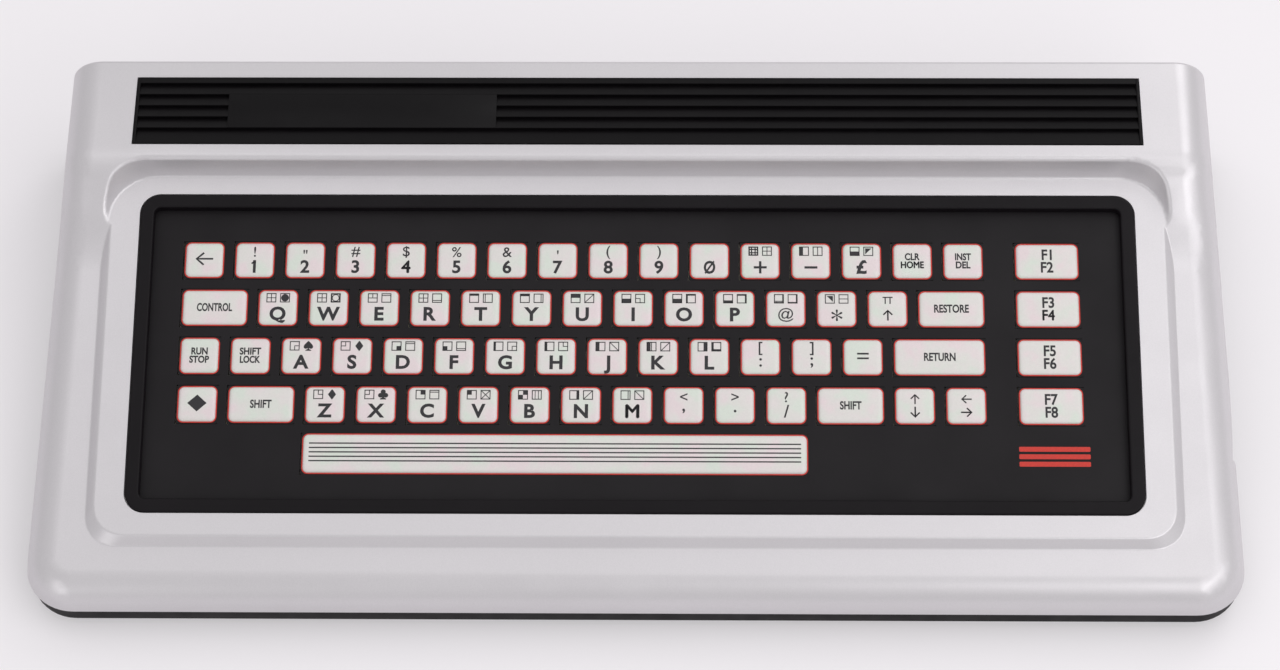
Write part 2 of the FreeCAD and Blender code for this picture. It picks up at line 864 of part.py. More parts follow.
def key_pads(keys):
    """The flat pads of one node, each standing a little above the sheet."""
    pads = []
    for column, row, width, depth in keys:
        x, y = key_centre(column, row)
        pads.append(on_keys(chorded_slab(width, depth, pad_corner, pad_corner_count, spacer_top - pad_sink,
                                         pad_rise, x, y)))
    return pads


# Board and the pieces on it


def board_place(share):
    """A place on the board, from shares of its width and depth."""
    return (board_left + share[0] * (board_right - board_left),
            board_front + share[1] * (board_rear - board_front))


def main_board():
    """The board, with a tongue that is the cassette recorder's edge plug."""
    board = block(board_left, board_right, board_front, board_rear, board_bottom, board_top)
    tongue = block(cassette_x - cassette_tongue / 2, cassette_x + cassette_tongue / 2,
                   board_rear, half_depth - cassette_setback, board_bottom, board_top)
    board = board.fuse(tongue).removeSplitter()
    reach = pillar / 2 + fit_gap
    pillars = [(x, y) for x, y in pillar_places() if board_left < x < board_right]
    notches = [block(x - reach, board_right + overrun, y - reach, board_rear + overrun, 0, case_height)
               for x, y in pillars if y > 0]
    notches += [block(x - reach, x + reach, -half_depth, y + reach, 0, case_height)
                for x, y in pillars if board_front - reach < y < 0]
    return cut_all(board, notches)


def logic_chips():
    chips = []
    placed = [(share, long_chip) for share in long_chip_shares]
    placed += [(share, short_chip) for share in short_chip_shares]
    for share, length in placed:
        x, y = board_place(share)
        chips.append(slab(length, chip_width, 0, board_top, board_top + chip_thickness, x, y))
    return chips


def heat_sink():
    """A finned sink that stands on the board with the regulator on its front."""
    x, y = board_place(sink_shares)
    top = board_top + sink_height
    parts = [block(x - sink_length / 2, x + sink_length / 2, y, y + sink_plate, board_top, top)]
    pitch = (sink_length - fin_thickness) / (fin_count - 1)
    for index in range(fin_count):
        start = x - sink_length / 2 + index * pitch
        parts.append(block(start, start + fin_thickness, y + sink_plate, y + sink_plate + fin_depth,
                           board_top, top))
    parts.append(block(x - regulator_width / 2, x + regulator_width / 2, y - regulator_thickness, y,
                       board_top, board_top + regulator_height))
    return parts[0].multiFuse(parts[1:]).removeSplitter()


def ribbon_connector():
    y = tail_y() - circuit_thickness / 2
    top = board_top + ribbon_socket_height
    body = slab(ribbon_socket_length, ribbon_socket_depth, 0, board_top, top, tail_x, y)
    slot = slab(tail_width + 2 * fit_gap, 2 * circuit_thickness, 0, tail_end(), top + fit_gap, tail_x, y)
    return body.cut(slot)


# Sockets


def cartridge_connector():
    body = block(cartridge_x - cartridge_length / 2, cartridge_x + cartridge_length / 2,
                 rear_face - cartridge_depth, rear_face, board_top, board_top + cartridge_height)
    middle = board_top + cartridge_height / 2
    slot = block(cartridge_x - cartridge_slot_length / 2, cartridge_x + cartridge_slot_length / 2,
                 rear_face - cartridge_slot_depth, rear_face + fit_gap,
                 middle - cartridge_slot_height / 2, middle + cartridge_slot_height / 2)
    return body.cut(slot)


def av_socket():
    middle = board_top + av_size / 2
    body = block(av_x - av_size / 2, av_x + av_size / 2, rear_face - av_depth, rear_face,
                 board_top, board_top + av_size)
    return body.cut(rod(av_radius, Vector(av_x, rear_face - av_recess, middle),
                        Vector(av_x, rear_face + fit_gap, middle)))


def rf_modulator():
    """A folded metal can with a lid, and the aerial jack through the rear wall."""
    top = board_top + modulator_height
    front = modulator_rear - modulator_depth
    can = block(modulator_x - modulator_width / 2, modulator_x + modulator_width / 2, front, modulator_rear,
                board_top, top - modulator_lid)
    lid = block(modulator_x - modulator_width / 2 + modulator_lid, modulator_x + modulator_width / 2 - modulator_lid,
                front + modulator_lid, modulator_rear - modulator_lid, top - modulator_lid, top)
    jack = rod(jack_radius, Vector(jack_x, modulator_rear, jack_z), Vector(jack_x, rear_face, jack_z))
    bore = rod(jack_bore, Vector(jack_x, rear_face - jack_bore_depth, jack_z),
               Vector(jack_x, rear_face + fit_gap, jack_z))
    return can.fuse(lid).fuse(jack).removeSplitter().cut(bore)


def channel_switch_housing():
    body = block(channel_x - channel_width / 2, channel_x + channel_width / 2, modulator_rear, rear_face,
                 jack_z - channel_height / 2, jack_z + channel_height / 2)
    half = (slider_width + channel_travel) / 2 + slider_gap
    slot = block(channel_x - half, channel_x + half, rear_face - slider_depth, rear_face + fit_gap,
                 jack_z - slider_height / 2 - slider_gap, jack_z + slider_height / 2 + slider_gap)
    return body.cut(slot)


def channel_slider():
    """The slider stands at the left end of its slot."""
    start = channel_x - (slider_width + channel_travel) / 2
    return block(start, start + slider_width, rear_face - slider_depth, half_depth - fit_gap,
                 jack_z - slider_height / 2, jack_z + slider_height / 2)


def port_outline(length, height, x):
    """The outline of a nine-pin socket: wider at its top, with bevelled corners."""
    bevel = port_shell_bevel
    half = height / 2
    top = length / 2
    bottom = top - port_shell_slant
    right = [(bottom - bevel, -half), (bottom, bevel - half), (top, half - bevel), (top - bevel, half)]
    points = [Vector(x, y, z) for y, z in right] + [Vector(x, -y, z) for y, z in reversed(right)]
    return Part.makePolygon(points + points[:1])


def control_ports():
    """Two nine-pin sockets: a body, a flange, a metal shell with pins in it, and two nuts each."""
    face = side_face - port_recess
    ports = []
    for index in range(port_count):
        y = port_y + index * port_pitch
        middle = Vector(0, y, board_top + port_height / 2)
        parts = [
            block(face - port_flange - port_body_depth, face - port_flange, y - port_body_length / 2,
                  y + port_body_length / 2, board_top, board_top + port_height),
            block(face - port_flange, face, y - port_length / 2, y + port_length / 2,
                  board_top, board_top + port_height),
        ]
        way = Vector(port_shell_depth, 0, 0)
        shell = prism(port_outline(port_shell_length, port_shell_height, face), way)
        wall = 2 * port_shell_wall
        shell = shell.cut(prism(port_outline(port_shell_length - wall, port_shell_height - wall, face), way))
        shell.translate(middle)
        parts.append(shell)
        for row, count in enumerate(port_pin_counts):
            for place in range(count):
                pin_y = y + (place - (count - 1) / 2) * port_pin_pitch
                pin_z = middle.z + (row - 1 / 2) * port_pin_row_gap
                parts.append(block(face, face + port_pin_length, pin_y - port_pin / 2, pin_y + port_pin / 2,
                                   pin_z - port_pin / 2, pin_z + port_pin / 2))
        for side in (-1, 1):
            nut_place = Vector(face, y + side * port_nut_spread, middle.z)
            parts.append(sided_rod(nut_sides, port_nut_radius, nut_place,
                                   nut_place + Vector(port_nut_height, 0, 0)))
        ports.append(parts[0].multiFuse(parts[1:]).removeSplitter())
    return ports


def power_socket():
    middle = board_top + power_height / 2
    body = block(side_face - power_depth, side_face, power_y - power_width / 2, power_y + power_width / 2,
                 board_top, board_top + power_height)
    return body.cut(rod(power_bore, Vector(side_face - power_bore_depth, power_y, middle),
                        Vector(side_face + fit_gap, power_y, middle)))


def power_switch_housing():
    body = block(side_face - switch_depth, side_face, switch_y - switch_length / 2, switch_y + switch_length / 2,
                 board_top, board_top + switch_height)
    inside = block(side_face - switch_depth + switch_wall, side_face + fit_gap,
                   switch_y - switch_length / 2 + switch_wall, switch_y + switch_length / 2 - switch_wall,
                   board_top + switch_wall, board_top + switch_height - switch_wall)
    pin_slot = standing_block(2 * (rocker_pin_radius + rocker_gap), board_top, board_top + switch_height,
                              rocker_x, switch_y)
    return body.cut(inside).cut(pin_slot)


def power_rocker():
    """A rocker with a hollowed face, resting with its front half pressed in."""
    dip = rocker_reach * math.tan(math.radians(rocker_tilt))
    half = switch_height / 2 - switch_wall - fit_gap
    outline = Part.makePolygon([
        Vector(rocker_x + rocker_face - dip, switch_y, switch_z - half),
        Vector(rocker_x + rocker_face, switch_y + rocker_reach, switch_z - half),
        Vector(rocker_x, switch_y + rocker_reach, switch_z - half),
        Vector(rocker_x - rocker_back, switch_y, switch_z - half),
        Vector(rocker_x, switch_y - rocker_reach, switch_z - half),
        Vector(rocker_x + rocker_face, switch_y - rocker_reach, switch_z - half),
        Vector(rocker_x + rocker_face - dip, switch_y, switch_z - half),
    ])
    body = prism(outline, Vector(0, 0, 2 * half))
    pin = sided_rod(rocker_pin_sides, rocker_pin_radius, Vector(rocker_x, switch_y, board_top + fit_gap),
                    Vector(rocker_x, switch_y, board_top + switch_height - fit_gap))
    rocker = body.fuse(pin)
    rocker.rotate(Vector(rocker_x, switch_y, switch_z), Vector(0, 0, 1), -rocker_tilt)
    return rocker


# Table of keys: columns and rows in key pitches from the first key of the top row

function_column = 16.65
function_rows = 4
letter_rows = [("qwertyuiop", 1.5, 1), ("asdfghjkl", 2, 2), ("zxcvbnm", 2.5, 3)]
key_table = {}
for letters, start, row in letter_rows:
    for index, letter in enumerate(letters):
        key_table["key_" + letter] = unit_keys([start + index], row)
key_table["key_control"] = [(0.25, 1, wide_pad_width, pad_depth)]
key_table["key_restore"] = [(14.75, 1, wide_pad_width, pad_depth)]
key_table["key_return"] = [(14.5, 2, return_pad_width, pad_depth)]
key_table["key_shift_left"] = [(1.25, 3, wide_pad_width, pad_depth)]
key_table["key_shift_right"] = [(12.75, 3, wide_pad_width, pad_depth)]
key_table["key_space"] = [(7, 4, space_pad_width, space_pad_depth)]
key_table["function_keys"] = [(function_column, row, function_pad_width, pad_depth)
                              for row in range(function_rows)]
key_table["number_keys"] = unit_keys(range(16), 0)
key_table["symbol_keys"] = (unit_keys([11.5, 12.5, 13.5], 1) + unit_keys([0, 1, 11, 12, 13], 2)
                            + unit_keys([0, 9.5, 10.5, 11.5, 14, 15], 3))


# Export

outer = outer_form()
inner = inner_form()
pieces = {
    "top_case": [top_case(outer, inner)],
    "base_case": [base_case()],
    "trim_strip": [trim_strip()],
    "keyboard_bezel": [keyboard_bezel()],
    "key_overlay": [key_overlay()],
    "spacer_sheet": [spacer_sheet()],
    "circuit_sheet": [circuit_sheet()],
    "backing_plate": [backing_plate()],
    "main_board": [main_board()],
    "logic_chips": logic_chips(),
    "heat_sink": [heat_sink()],
    "ribbon_connector": [ribbon_connector()],
    "rf_modulator": [rf_modulator()],
    "cartridge_connector": [cartridge_connector()],
    "control_ports": control_ports(),
    "power_socket": [power_socket()],
    "power_switch_housing": [power_switch_housing()],
    "power_rocker": [power_rocker()],
    "av_socket": [av_socket()],
    "channel_switch_housing": [channel_switch_housing()],
    "channel_slider": [channel_slider()],
    "rubber_feet": rubber_feet(),
}
for name, keys in key_table.items():
    pieces[name] = key_pads(keys)

os.makedirs("parts", exist_ok=True)
for name, solids in pieces.items():
    shape = solids[0] if len(solids) == 1 else Part.makeCompound(solids)
    shape.exportStep("parts/" + name + ".step")
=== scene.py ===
import math

import bmesh
import bpy
from mathutils import Matrix, Vector


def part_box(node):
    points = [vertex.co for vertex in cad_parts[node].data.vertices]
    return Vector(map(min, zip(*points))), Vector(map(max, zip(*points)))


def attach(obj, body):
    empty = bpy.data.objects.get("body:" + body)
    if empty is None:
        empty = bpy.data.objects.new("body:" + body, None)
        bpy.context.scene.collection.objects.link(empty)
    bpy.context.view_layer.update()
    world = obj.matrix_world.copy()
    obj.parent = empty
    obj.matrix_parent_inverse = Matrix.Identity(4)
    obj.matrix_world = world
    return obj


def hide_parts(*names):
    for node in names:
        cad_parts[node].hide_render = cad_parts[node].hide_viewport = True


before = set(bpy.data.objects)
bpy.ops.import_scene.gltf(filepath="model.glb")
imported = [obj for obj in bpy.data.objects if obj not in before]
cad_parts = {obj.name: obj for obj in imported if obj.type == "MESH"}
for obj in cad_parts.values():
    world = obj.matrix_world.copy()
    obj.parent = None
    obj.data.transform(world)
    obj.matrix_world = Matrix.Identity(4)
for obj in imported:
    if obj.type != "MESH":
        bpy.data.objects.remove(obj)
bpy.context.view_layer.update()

bl_info = {
    "name": "Vintage home computer",
    "version": (1, 0, 0),
    "blender": (4, 5, 0),
    "location": "3D View > Sidebar > Computer",
    "description": "Dresses the solids of a wedge-shaped home computer with a flat key panel",
    "category": "Object",
}

MM = 0.001
ROOT = "computer"
SHARP = math.radians(38)
FLAT = math.radians(0.4)
NEAR = 0.01 * MM
EVEN = WHITE = (1, 1, 1)
ROUND, PIN_SIDES = 32, 12


# Settings

def number(name, text, value, **more):
    return bpy.props.FloatProperty(name=name, description=text, default=value, **more)


def length(name, text, millimetres):
    return number(name, text, millimetres * MM, unit="LENGTH", precision=5)


def angle(name, text, degrees):
    return number(name, text, math.radians(degrees), subtype="ANGLE")


def vector(name, text, values, subtype, **more):
    return bpy.props.FloatVectorProperty(
        name=name, description=text, default=values, subtype=subtype, size=3, **more)


def colour(name, text, *levels):
    """A colour given as three screen levels from 0 to 255."""
    return vector(name, text, [linear(level) for level in levels], "COLOR", min=0, max=1)


def linear(level):
    """A screen level from 0 to 255 as a share of light."""
    share = level / 255
    return share / 12.92 if share <= 0.04045 else ((share + 0.055) / 1.055) ** 2.4


class CaseSettings(bpy.types.PropertyGroup):
    silver: colour("Silver", "Paint of the upper case", 214, 211, 214)
    black: colour("Black", "Moulded plastic of the lower case and frame", 18, 15, 18)
    rubber: colour("Rubber", "Feet", 30, 29, 29)
    edge: length("Edge", "Rounding of the sharp edges of the upper case", 0.35)
    strip_black: colour("Strip black", "Moulded plastic of the strip", 12, 10, 12)
    strip_edge: length("Strip edge", "Rounding along the ribs of the strip", 0.22)
    strip_end: length("Strip end", "Wall at either end of the ribs", 0.9)
    frame_width: length("Frame width", "Width of the keyboard frame", 300)
    frame_depth: length("Frame depth", "Depth of the keyboard frame", 100)
    frame_corner: length("Frame corner", "Corner radius of the keyboard frame", 6)
    frame_band: length("Frame band", "Width of the frame's band", 4.2)
    frame_skirt: length("Frame skirt", "Thickness of the wall under the band", 1.9)
    frame_seat: length("Frame seat", "Level of the frame's seat above the key sheet", 1.0)
    frame_top: length("Frame top", "Level of the frame's top above the key sheet", 3.0)
    frame_edge: length("Frame edge", "Rounding along the keyboard frame", 0.6)
    screw_head: length("Screw head", "Radius of the heads under the case", 3.0)
    screw_rise: length("Screw rise", "Height of the heads", 1.3)


class KeyboardSettings(bpy.types.PropertyGroup):
    slope: angle("Slope", "Slope of the key plane", 9.6)
    plane_y: length("Plane Y", "Place of the middle of the key plane", -8.5)
    plane_z: length("Plane Z", "Height of the middle of the key plane", 33.0)
    pitch: length("Pitch", "From one key to the next", 15.24)
    first_x: length("First key X", "First column, from the middle of the plane", -130.25)
    first_y: length("First key Y", "First row, from the middle of the plane", 29.8)
    pad_depth: length("Pad depth", "Depth of a pad with its outline", 11.45)
    space_depth: length("Space bar depth", "Depth of the long pad", 12.5)
    corner: length("Corner", "Corner radius of a pad", 1.9)
    collar: length("Collar", "How much the sheet's colour reaches past a pad, in the opening", 0.5)
    outline: length("Outline", "Width of the red line round a pad", 0.36)
    outline_rise: length("Outline rise", "Height of the red line above the sheet", 0.12)
    ink_rise: length("Ink rise", "Thickness of the printing", 0.025)
    cap_height: length("Capitals", "Height of the large letters", 4.0)
    word_height: length("Words", "Height of the small words", 2.4)
    sign_height: length("Signs", "Height of the signs over the figures", 3.3)
    box: length("Box", "Side of the small printed boxes", 2.95)
    pearl: colour("Pearl", "Face of the pads", 221, 217, 214)
    red: colour("Red", "Outlines and stripes", 196, 46, 34)
    ink: colour("Ink", "Printing", 34, 32, 36)
    sheet: colour("Sheet", "The sheet between the pads", 22, 19, 22)


class SocketSettings(bpy.types.PropertyGroup):
    shell: colour("Shell", "Plated shells and rings", 176, 176, 178)
    gold: colour("Gold", "Contacts", 205, 168, 92)
    dark: colour("Dark", "Moulded sockets", 24, 24, 25)
    board: colour("Board", "Circuit board", 26, 84, 44)
    pale: colour("Pale", "Slider and ribbon socket", 214, 208, 196)
    port_shell: length("Port shell", "How far the metal shells stand out of the control ports", 5.2)


class StudioSettings(bpy.types.PropertyGroup):
    place: vector("Camera place", "Where the camera stands",
                  (0.01841, -0.49962, 0.94354), "XYZ", unit="LENGTH")
    turn: vector("Camera turn", "How the camera is turned",
                 [math.radians(v) for v in (28.6735, 0.7635, 0.5653)], "EULER")
    lens: number("Lens", "Focal length in millimetres", 97.49, unit="CAMERA")
    floor: colour("Floor", "The pale floor", 196, 193, 196)
    glow: number("Floor glow", "Light of its own that keeps the floor pale", 0.35)
    light_away: length("Light distance", "From the computer to each light", 1600)
    light_size: length("Light size", "Side of each square light", 700)
    light_power: number("Light power", "Watts of a light of strength one", 10.0)
    ambient: number("Ambient", "Strength of the light from all round", 0.62)


# Work in the scene, as by hand

def clear():
    """Nothing stays selected: an operator acts on all that is."""
    for item in list(bpy.context.selected_objects):
        item.select_set(False)


def take(*items):
    clear()
    for item in items:
        item.select_set(True)
    bpy.context.view_layer.objects.active = items[0]


def enter(item):
    take(item)
    bpy.ops.object.mode_set(mode="EDIT")


def leave():
    bpy.ops.object.mode_set(mode="OBJECT")


def choose(item, kind, rule):
    """Selects the faces, edges or vertices that a rule names. The mesh is in edit mode."""
    bpy.context.tool_settings.mesh_select_mode = [kind == k for k in ("verts", "edges", "faces")]
    mesh = bmesh.from_edit_mesh(item.data)
    for element in [*mesh.verts, *mesh.edges, *mesh.faces]:
        element.select = False
    for element in getattr(mesh, kind):
        if rule(element):
            element.select_set(True)
    bmesh.update_edit_mesh(item.data)


def chosen_material(item, index):
    """Gives the selected faces a material slot."""
    mesh = bmesh.from_edit_mesh(item.data)
    for face in mesh.faces:
        if face.select:
            face.material_index = index
    bmesh.update_edit_mesh(item.data)


def smooth(item, limit=SHARP):
    take(item)
    bpy.ops.object.shade_smooth_by_angle(angle=limit)


def modify(item, kind, **values):
    """Adds a modifier with these values and applies it."""
    take(item)
    modifier = item.modifiers.new(kind.title(), kind)
    for name, value in values.items():
        setattr(modifier, name, value)
    bpy.ops.object.modifier_apply(modifier=modifier.name)


def place(item, matrix):
    """Moves a finished piece, and puts the move in its mesh."""
    item.matrix_world = matrix
    take(item)
    bpy.ops.object.transform_apply(location=True, rotation=True, scale=True)


def joined(name, parts):
    take(*parts)
    if len(parts) > 1:
        bpy.ops.object.join()
    parts[0].name = name
    return parts[0]


def opened(name):
    """Names a new primitive, and opens its mesh in edit mode with all of it selected."""
    item = bpy.context.object
    item.name = name
    bpy.ops.object.transform_apply(location=True, rotation=False, scale=True)
    bpy.ops.object.mode_set(mode="EDIT")
    bpy.ops.mesh.select_all(action="SELECT")
    return item


def new_plate(name, width, depth, level, corner, segments=6):
    """A flat plate with round corners. It stays in edit mode with its face selected."""
    clear()
    bpy.ops.mesh.primitive_plane_add(size=1, location=(0, 0, level))
    bpy.context.object.scale = (width, depth, 1)
    plate = opened(name)
    if corner > 0:
        bpy.ops.mesh.bevel(offset=corner, segments=segments, affect="VERTICES")
        choose(plate, "faces", lambda face: True)
    return plate


def new_disc(name, radius, level, sides):
    """A flat disc. It stays in edit mode with its face selected."""
    clear()
    bpy.ops.mesh.primitive_circle_add(
        vertices=sides, radius=radius, fill_type="NGON", location=(0, 0, level))
    return opened(name)


def raise_face(rise):
    bpy.ops.mesh.extrude_region_move(TRANSFORM_OT_translate={"value": (0, 0, rise)})


def new_tube(name, radius, inner, bottom, top, floor):
    """An upright tube with eased rims, closed at the level of its floor."""
    tube = new_disc(name, radius, bottom, ROUND)
    raise_face(top - bottom)
    ease = (radius - inner) / 4
    bpy.ops.mesh.bevel(offset=ease, segments=2)
    choose(tube, "faces", lambda face: face.normal.z > 0.9 and len(face.verts) == ROUND)
    bpy.ops.mesh.inset(thickness=radius - inner - ease)
    raise_face(floor - top)
    leave()
    smooth(tube)
    return tube


def new_pin(name, radius, bottom, top):
    """An upright pin with a rounded tip."""
    pin = new_disc(name, radius, bottom, PIN_SIDES)
    raise_face(top - bottom - radius)
    for share, rise in ((0.3, 0.6), (0.4, 0.4)):
        bpy.ops.mesh.inset(thickness=radius * share, depth=radius * rise)
    leave()
    smooth(pin, math.radians(60))
    return pin


def new_bar(name, low, high, ease=0.0):
    """A bar between two corners, with eased edges."""
    clear()
    low, high = Vector(low), Vector(high)
    bpy.ops.mesh.primitive_cube_add(size=1, location=(low + high) / 2, scale=high - low)
    bar = bpy.context.object
    bar.name = name
    bpy.ops.object.transform_apply(location=True, rotation=False, scale=True)
    if ease > 0:
        modify(bar, "BEVEL", width=ease, segments=2, limit_method="NONE")
    smooth(bar)
    return bar


def edge_at(y, z):
    """A rule for the edges that run from left to right at this place and level."""
    return lambda edge: all(abs(vertex.co.y - y) < NEAR and abs(vertex.co.z - z) < NEAR
                            for vertex in edge.verts)


def twin(item):
    """A copy of a piece with its own mesh."""
    made = item.copy()
    made.data = item.data.copy()
    bpy.context.scene.collection.objects.link(made)
    return made


def copies(item, matrices):
    """A piece and its twins, one for each place."""
    made = [item, *(twin(item) for _ in matrices[1:])]
    for piece, matrix in zip(made, matrices):
        place(piece, matrix)
    return made


def spaced(count, pitch):
    """Places in a row about zero."""
    return [(index - (count - 1) / 2) * pitch for index in range(count)]


def merged_copy(node, name):
    """A copy of a solid's mesh with its loose triangles merged, and flat faces made whole."""
    clear()
    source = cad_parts[node]
    item = bpy.data.objects.new(name, source.data.copy())
    bpy.context.scene.collection.objects.link(item)
    for key in list(item.keys()):
        del item[key]
    enter(item)
    bpy.ops.mesh.select_all(action="SELECT")
    bpy.ops.mesh.remove_doubles(threshold=0.001 * MM)
    bpy.ops.mesh.dissolve_limited(angle_limit=FLAT)
    leave()
    item.data.materials.clear()
    return item


def flattened(item):
    """Smooth shading that keeps flat faces flat."""
    smooth(item)
    modify(item, "WEIGHTED_NORMAL", keep_sharp=True, weight=80)


def eased(item, width, segments=2):
    """Rounds the sharp edges."""
    modify(item, "BEVEL", width=width, segments=segments, limit_method="ANGLE",
           angle_limit=SHARP, use_clamp_overlap=True, harden_normals=False)
    flattened(item)


def finished(item, body, slot, *nodes):
    """The body that a piece rides on, and the solids that it stands for. The slot is not used."""
    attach(item, body)
    if nodes:
        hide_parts(*nodes)


def dress(item, *materials):
    item.data.materials.clear()
    for material in materials:
        item.data.materials.append(material)


def settled(item, finish, slot, *nodes):
    """A new piece gets its finish, and rides on the computer itself."""
    dress(item, finish)
    finished(item, ROOT, slot, *nodes)


def dressed_copy(node, name, slot, edge, finish, segments=2, body=ROOT):
    """A merged copy stands for its solid, with eased edges and a finish."""
    item = merged_copy(node, name)
    eased(item, edge, segments)
    dress(item, finish)
    finished(item, body, slot, node)


# Finishes: sizes and depths are in metres

LEVELS = (0.3, 0.7)
MIX_SHARE, MIX_FIRST, MIX_SECOND, MIX_RESULT = 0, 6, 7, 2


class Finish:
    """A material being built, with short calls for its nodes."""

    def __init__(self, name):
        self.material = bpy.data.materials.new(name)
        self.material.use_nodes = True
        self.nodes = self.material.node_tree.nodes
        self.links = self.material.node_tree.links
        self.shader = self.nodes["Principled BSDF"]
        self.position = self.nodes.new("ShaderNodeTexCoord").outputs["Object"]

    def set(self, **values):
        for name, value in values.items():
            self.shader.inputs[name.replace("_", " ")].default_value = value

    def wire(self, output, name):
        self.links.new(output, self.shader.inputs[name])

    def noise(self, size, detail, stretch=EVEN):
        """Soft blotches of about this size."""
        mapping = self.nodes.new("ShaderNodeMapping")
        mapping.inputs["Scale"].default_value = stretch
        self.links.new(self.position, mapping.inputs["Vector"])
        texture = self.nodes.new("ShaderNodeTexNoise")
        texture.inputs["Scale"].default_value = 1 / size
        texture.inputs["Detail"].default_value = detail
        self.links.new(mapping.outputs["Vector"], texture.inputs["Vector"])
        return texture.outputs["Fac"]

    def cells(self, size):
        """Small flat cells, each with its own level."""
        texture = self.nodes.new("ShaderNodeTexVoronoi")
        texture.inputs["Scale"].default_value = 1 / size
        self.links.new(self.position, texture.inputs["Vector"])
        return texture.outputs["Color"]

    def ramp(self, level, *stops):
        """Colours along a level: pairs of a place and a colour."""
        ramp = self.nodes.new("ShaderNodeValToRGB")
        band = ramp.color_ramp
        while len(band.elements) < len(stops):
            band.elements.new(0.5)
        for element, (spot, tone) in zip(band.elements, stops):
            element.position = spot
            element.color = (*tone, 1)
        self.links.new(level, ramp.inputs["Fac"])
        return ramp.outputs["Color"]

    def shades(self, level, tone, dark, light, start=LEVELS[0], end=LEVELS[1]):
        """From one shade of a colour to another along a level."""
        return self.ramp(level, (start, scaled(tone, dark)), (end, scaled(tone, light)))

    def product(self, first, second):
        """One colour times another."""
        mix = self.nodes.new("ShaderNodeMix")
        mix.data_type = "RGBA"
        mix.blend_type = "MULTIPLY"
        mix.inputs[MIX_SHARE].default_value = 1.0
        self.links.new(first, mix.inputs[MIX_FIRST])
        self.links.new(second, mix.inputs[MIX_SECOND])
        return mix.outputs[MIX_RESULT]

    def spread(self, level, low, high):
        """A number that runs from low to high with a level."""
        spread = self.nodes.new("ShaderNodeMapRange")
        for name, value in zip(("From Min", "From Max", "To Min", "To Max"), (*LEVELS, low, high)):
            spread.inputs[name].default_value = value
        self.links.new(level, spread.inputs["Value"])
        return spread.outputs["Result"]

    def sum(self, kind, first, second):
        """An output worked out with another output or a number."""
        node = self.nodes.new("ShaderNodeMath")
        node.operation = kind
        self.links.new(first, node.inputs[0])
        if isinstance(second, bpy.types.NodeSocket):
            self.links.new(second, node.inputs[1])
        else:
            node.inputs[1].default_value = second
        return node.outputs[0]

    def seen(self, strength):
        """A strength for rays that look at a surface, also in a reflection or through glass."""
        path = self.nodes.new("ShaderNodeLightPath").outputs
        looks = self.sum("MAXIMUM", path["Is Camera Ray"], path["Is Glossy Ray"])
        looks = self.sum("MAXIMUM", looks, path["Is Transmission Ray"])
        return self.sum("MULTIPLY", looks, strength)

    def relief(self, height, depth, strength):
        bump = self.nodes.new("ShaderNodeBump")
        bump.inputs["Strength"].default_value = strength
        bump.inputs["Distance"].default_value = depth
        self.links.new(height, bump.inputs["Height"])
        self.wire(bump.outputs["Normal"], "Normal")


def scaled(tone, factor):
    return [min(1.0, level * factor) for level in tone]


def finish_once(build):
    """Each finish is built the first time that a piece asks for it."""
    made = {}

    def give(*values):
        key = tuple(value if isinstance(value, (str, int, float)) else tuple(value)
                    for value in values)
        if key not in made:
            made[key] = build(*values).material
        return made[key]

    return give


@finish_once
def silver_paint(tone):
    """Satin silver paint: slight clouds, fine flakes and a shallow grain."""
    finish = Finish("silver_paint")
    clouds = finish.shades(finish.noise(size=0.09, detail=2), tone, 0.985, 1.01)
    flakes = finish.shades(finish.cells(size=0.00022), WHITE, 0.96, 1, 0.2, 0.8)
    finish.wire(finish.product(clouds, flakes), "Base Color")
    finish.wire(finish.spread(finish.noise(size=0.012, detail=4), 0.35, 0.41), "Roughness")
    finish.set(Metallic=0.5)
    finish.relief(finish.noise(size=0.0009, detail=2), depth=0.00001, strength=0.15)
    return finish


@finish_once
def moulded(name, tone, roughness, grain, depth):
    """Moulded plastic with a fine spark-eroded grain of a size and depth."""
    finish = Finish(name)
    clouds = finish.noise(size=0.03, detail=3)
    finish.wire(finish.shades(clouds, tone, 0.88, 1.14, end=0.72), "Base Color")
    finish.wire(finish.spread(finish.noise(size=0.006, detail=5), roughness - 0.05,
                              roughness + 0.07), "Roughness")
    finish.set(Specular_IOR_Level=0.14)
    finish.relief(finish.noise(grain, detail=4), depth, strength=0.6)
    return finish


@finish_once
def key_film(tone):
    """Printed film: even, with the weave of the screen and faint finger polish."""
    finish = Finish("key_film")
    polish = finish.noise(size=0.022, detail=3)
    finish.wire(finish.shades(polish, tone, 0.93, 1.08), "Base Color")
    finish.wire(finish.spread(polish, 0.62, 0.5), "Roughness")
    finish.set(Specular_IOR_Level=0.22)
    finish.relief(finish.noise(size=0.0005, detail=2), depth=0.00001, strength=0.5)
    return finish


@finish_once
def pearl(tone):
    """Pearly pads: milky with faint pink and green drifts under a clear film."""
    finish = Finish("pearl")
    red, green, blue = tone
    drifts = [(0.34, (red * 1.05, green * 0.95, blue * 1.0)),
              (0.47, (red, green, blue)),
              (0.53, (red * 0.99, green * 1.0, blue * 0.99)),
              (0.66, (red * 0.93, green * 1.04, blue * 0.97))]
    hue = finish.ramp(finish.noise(size=0.0075, detail=2), *drifts)
    spark = finish.shades(finish.cells(size=0.0003), WHITE, 0.95, 1, 0.1, 0.9)
    finish.wire(finish.product(hue, spark), "Base Color")
    finish.wire(finish.spread(finish.noise(size=0.004, detail=3), 0.3, 0.4), "Roughness")
    finish.set(Coat_Weight=0.25, Coat_Roughness=0.25)
    finish.relief(finish.noise(size=0.0022, detail=2), depth=0.00005, strength=0.4)
    return finish


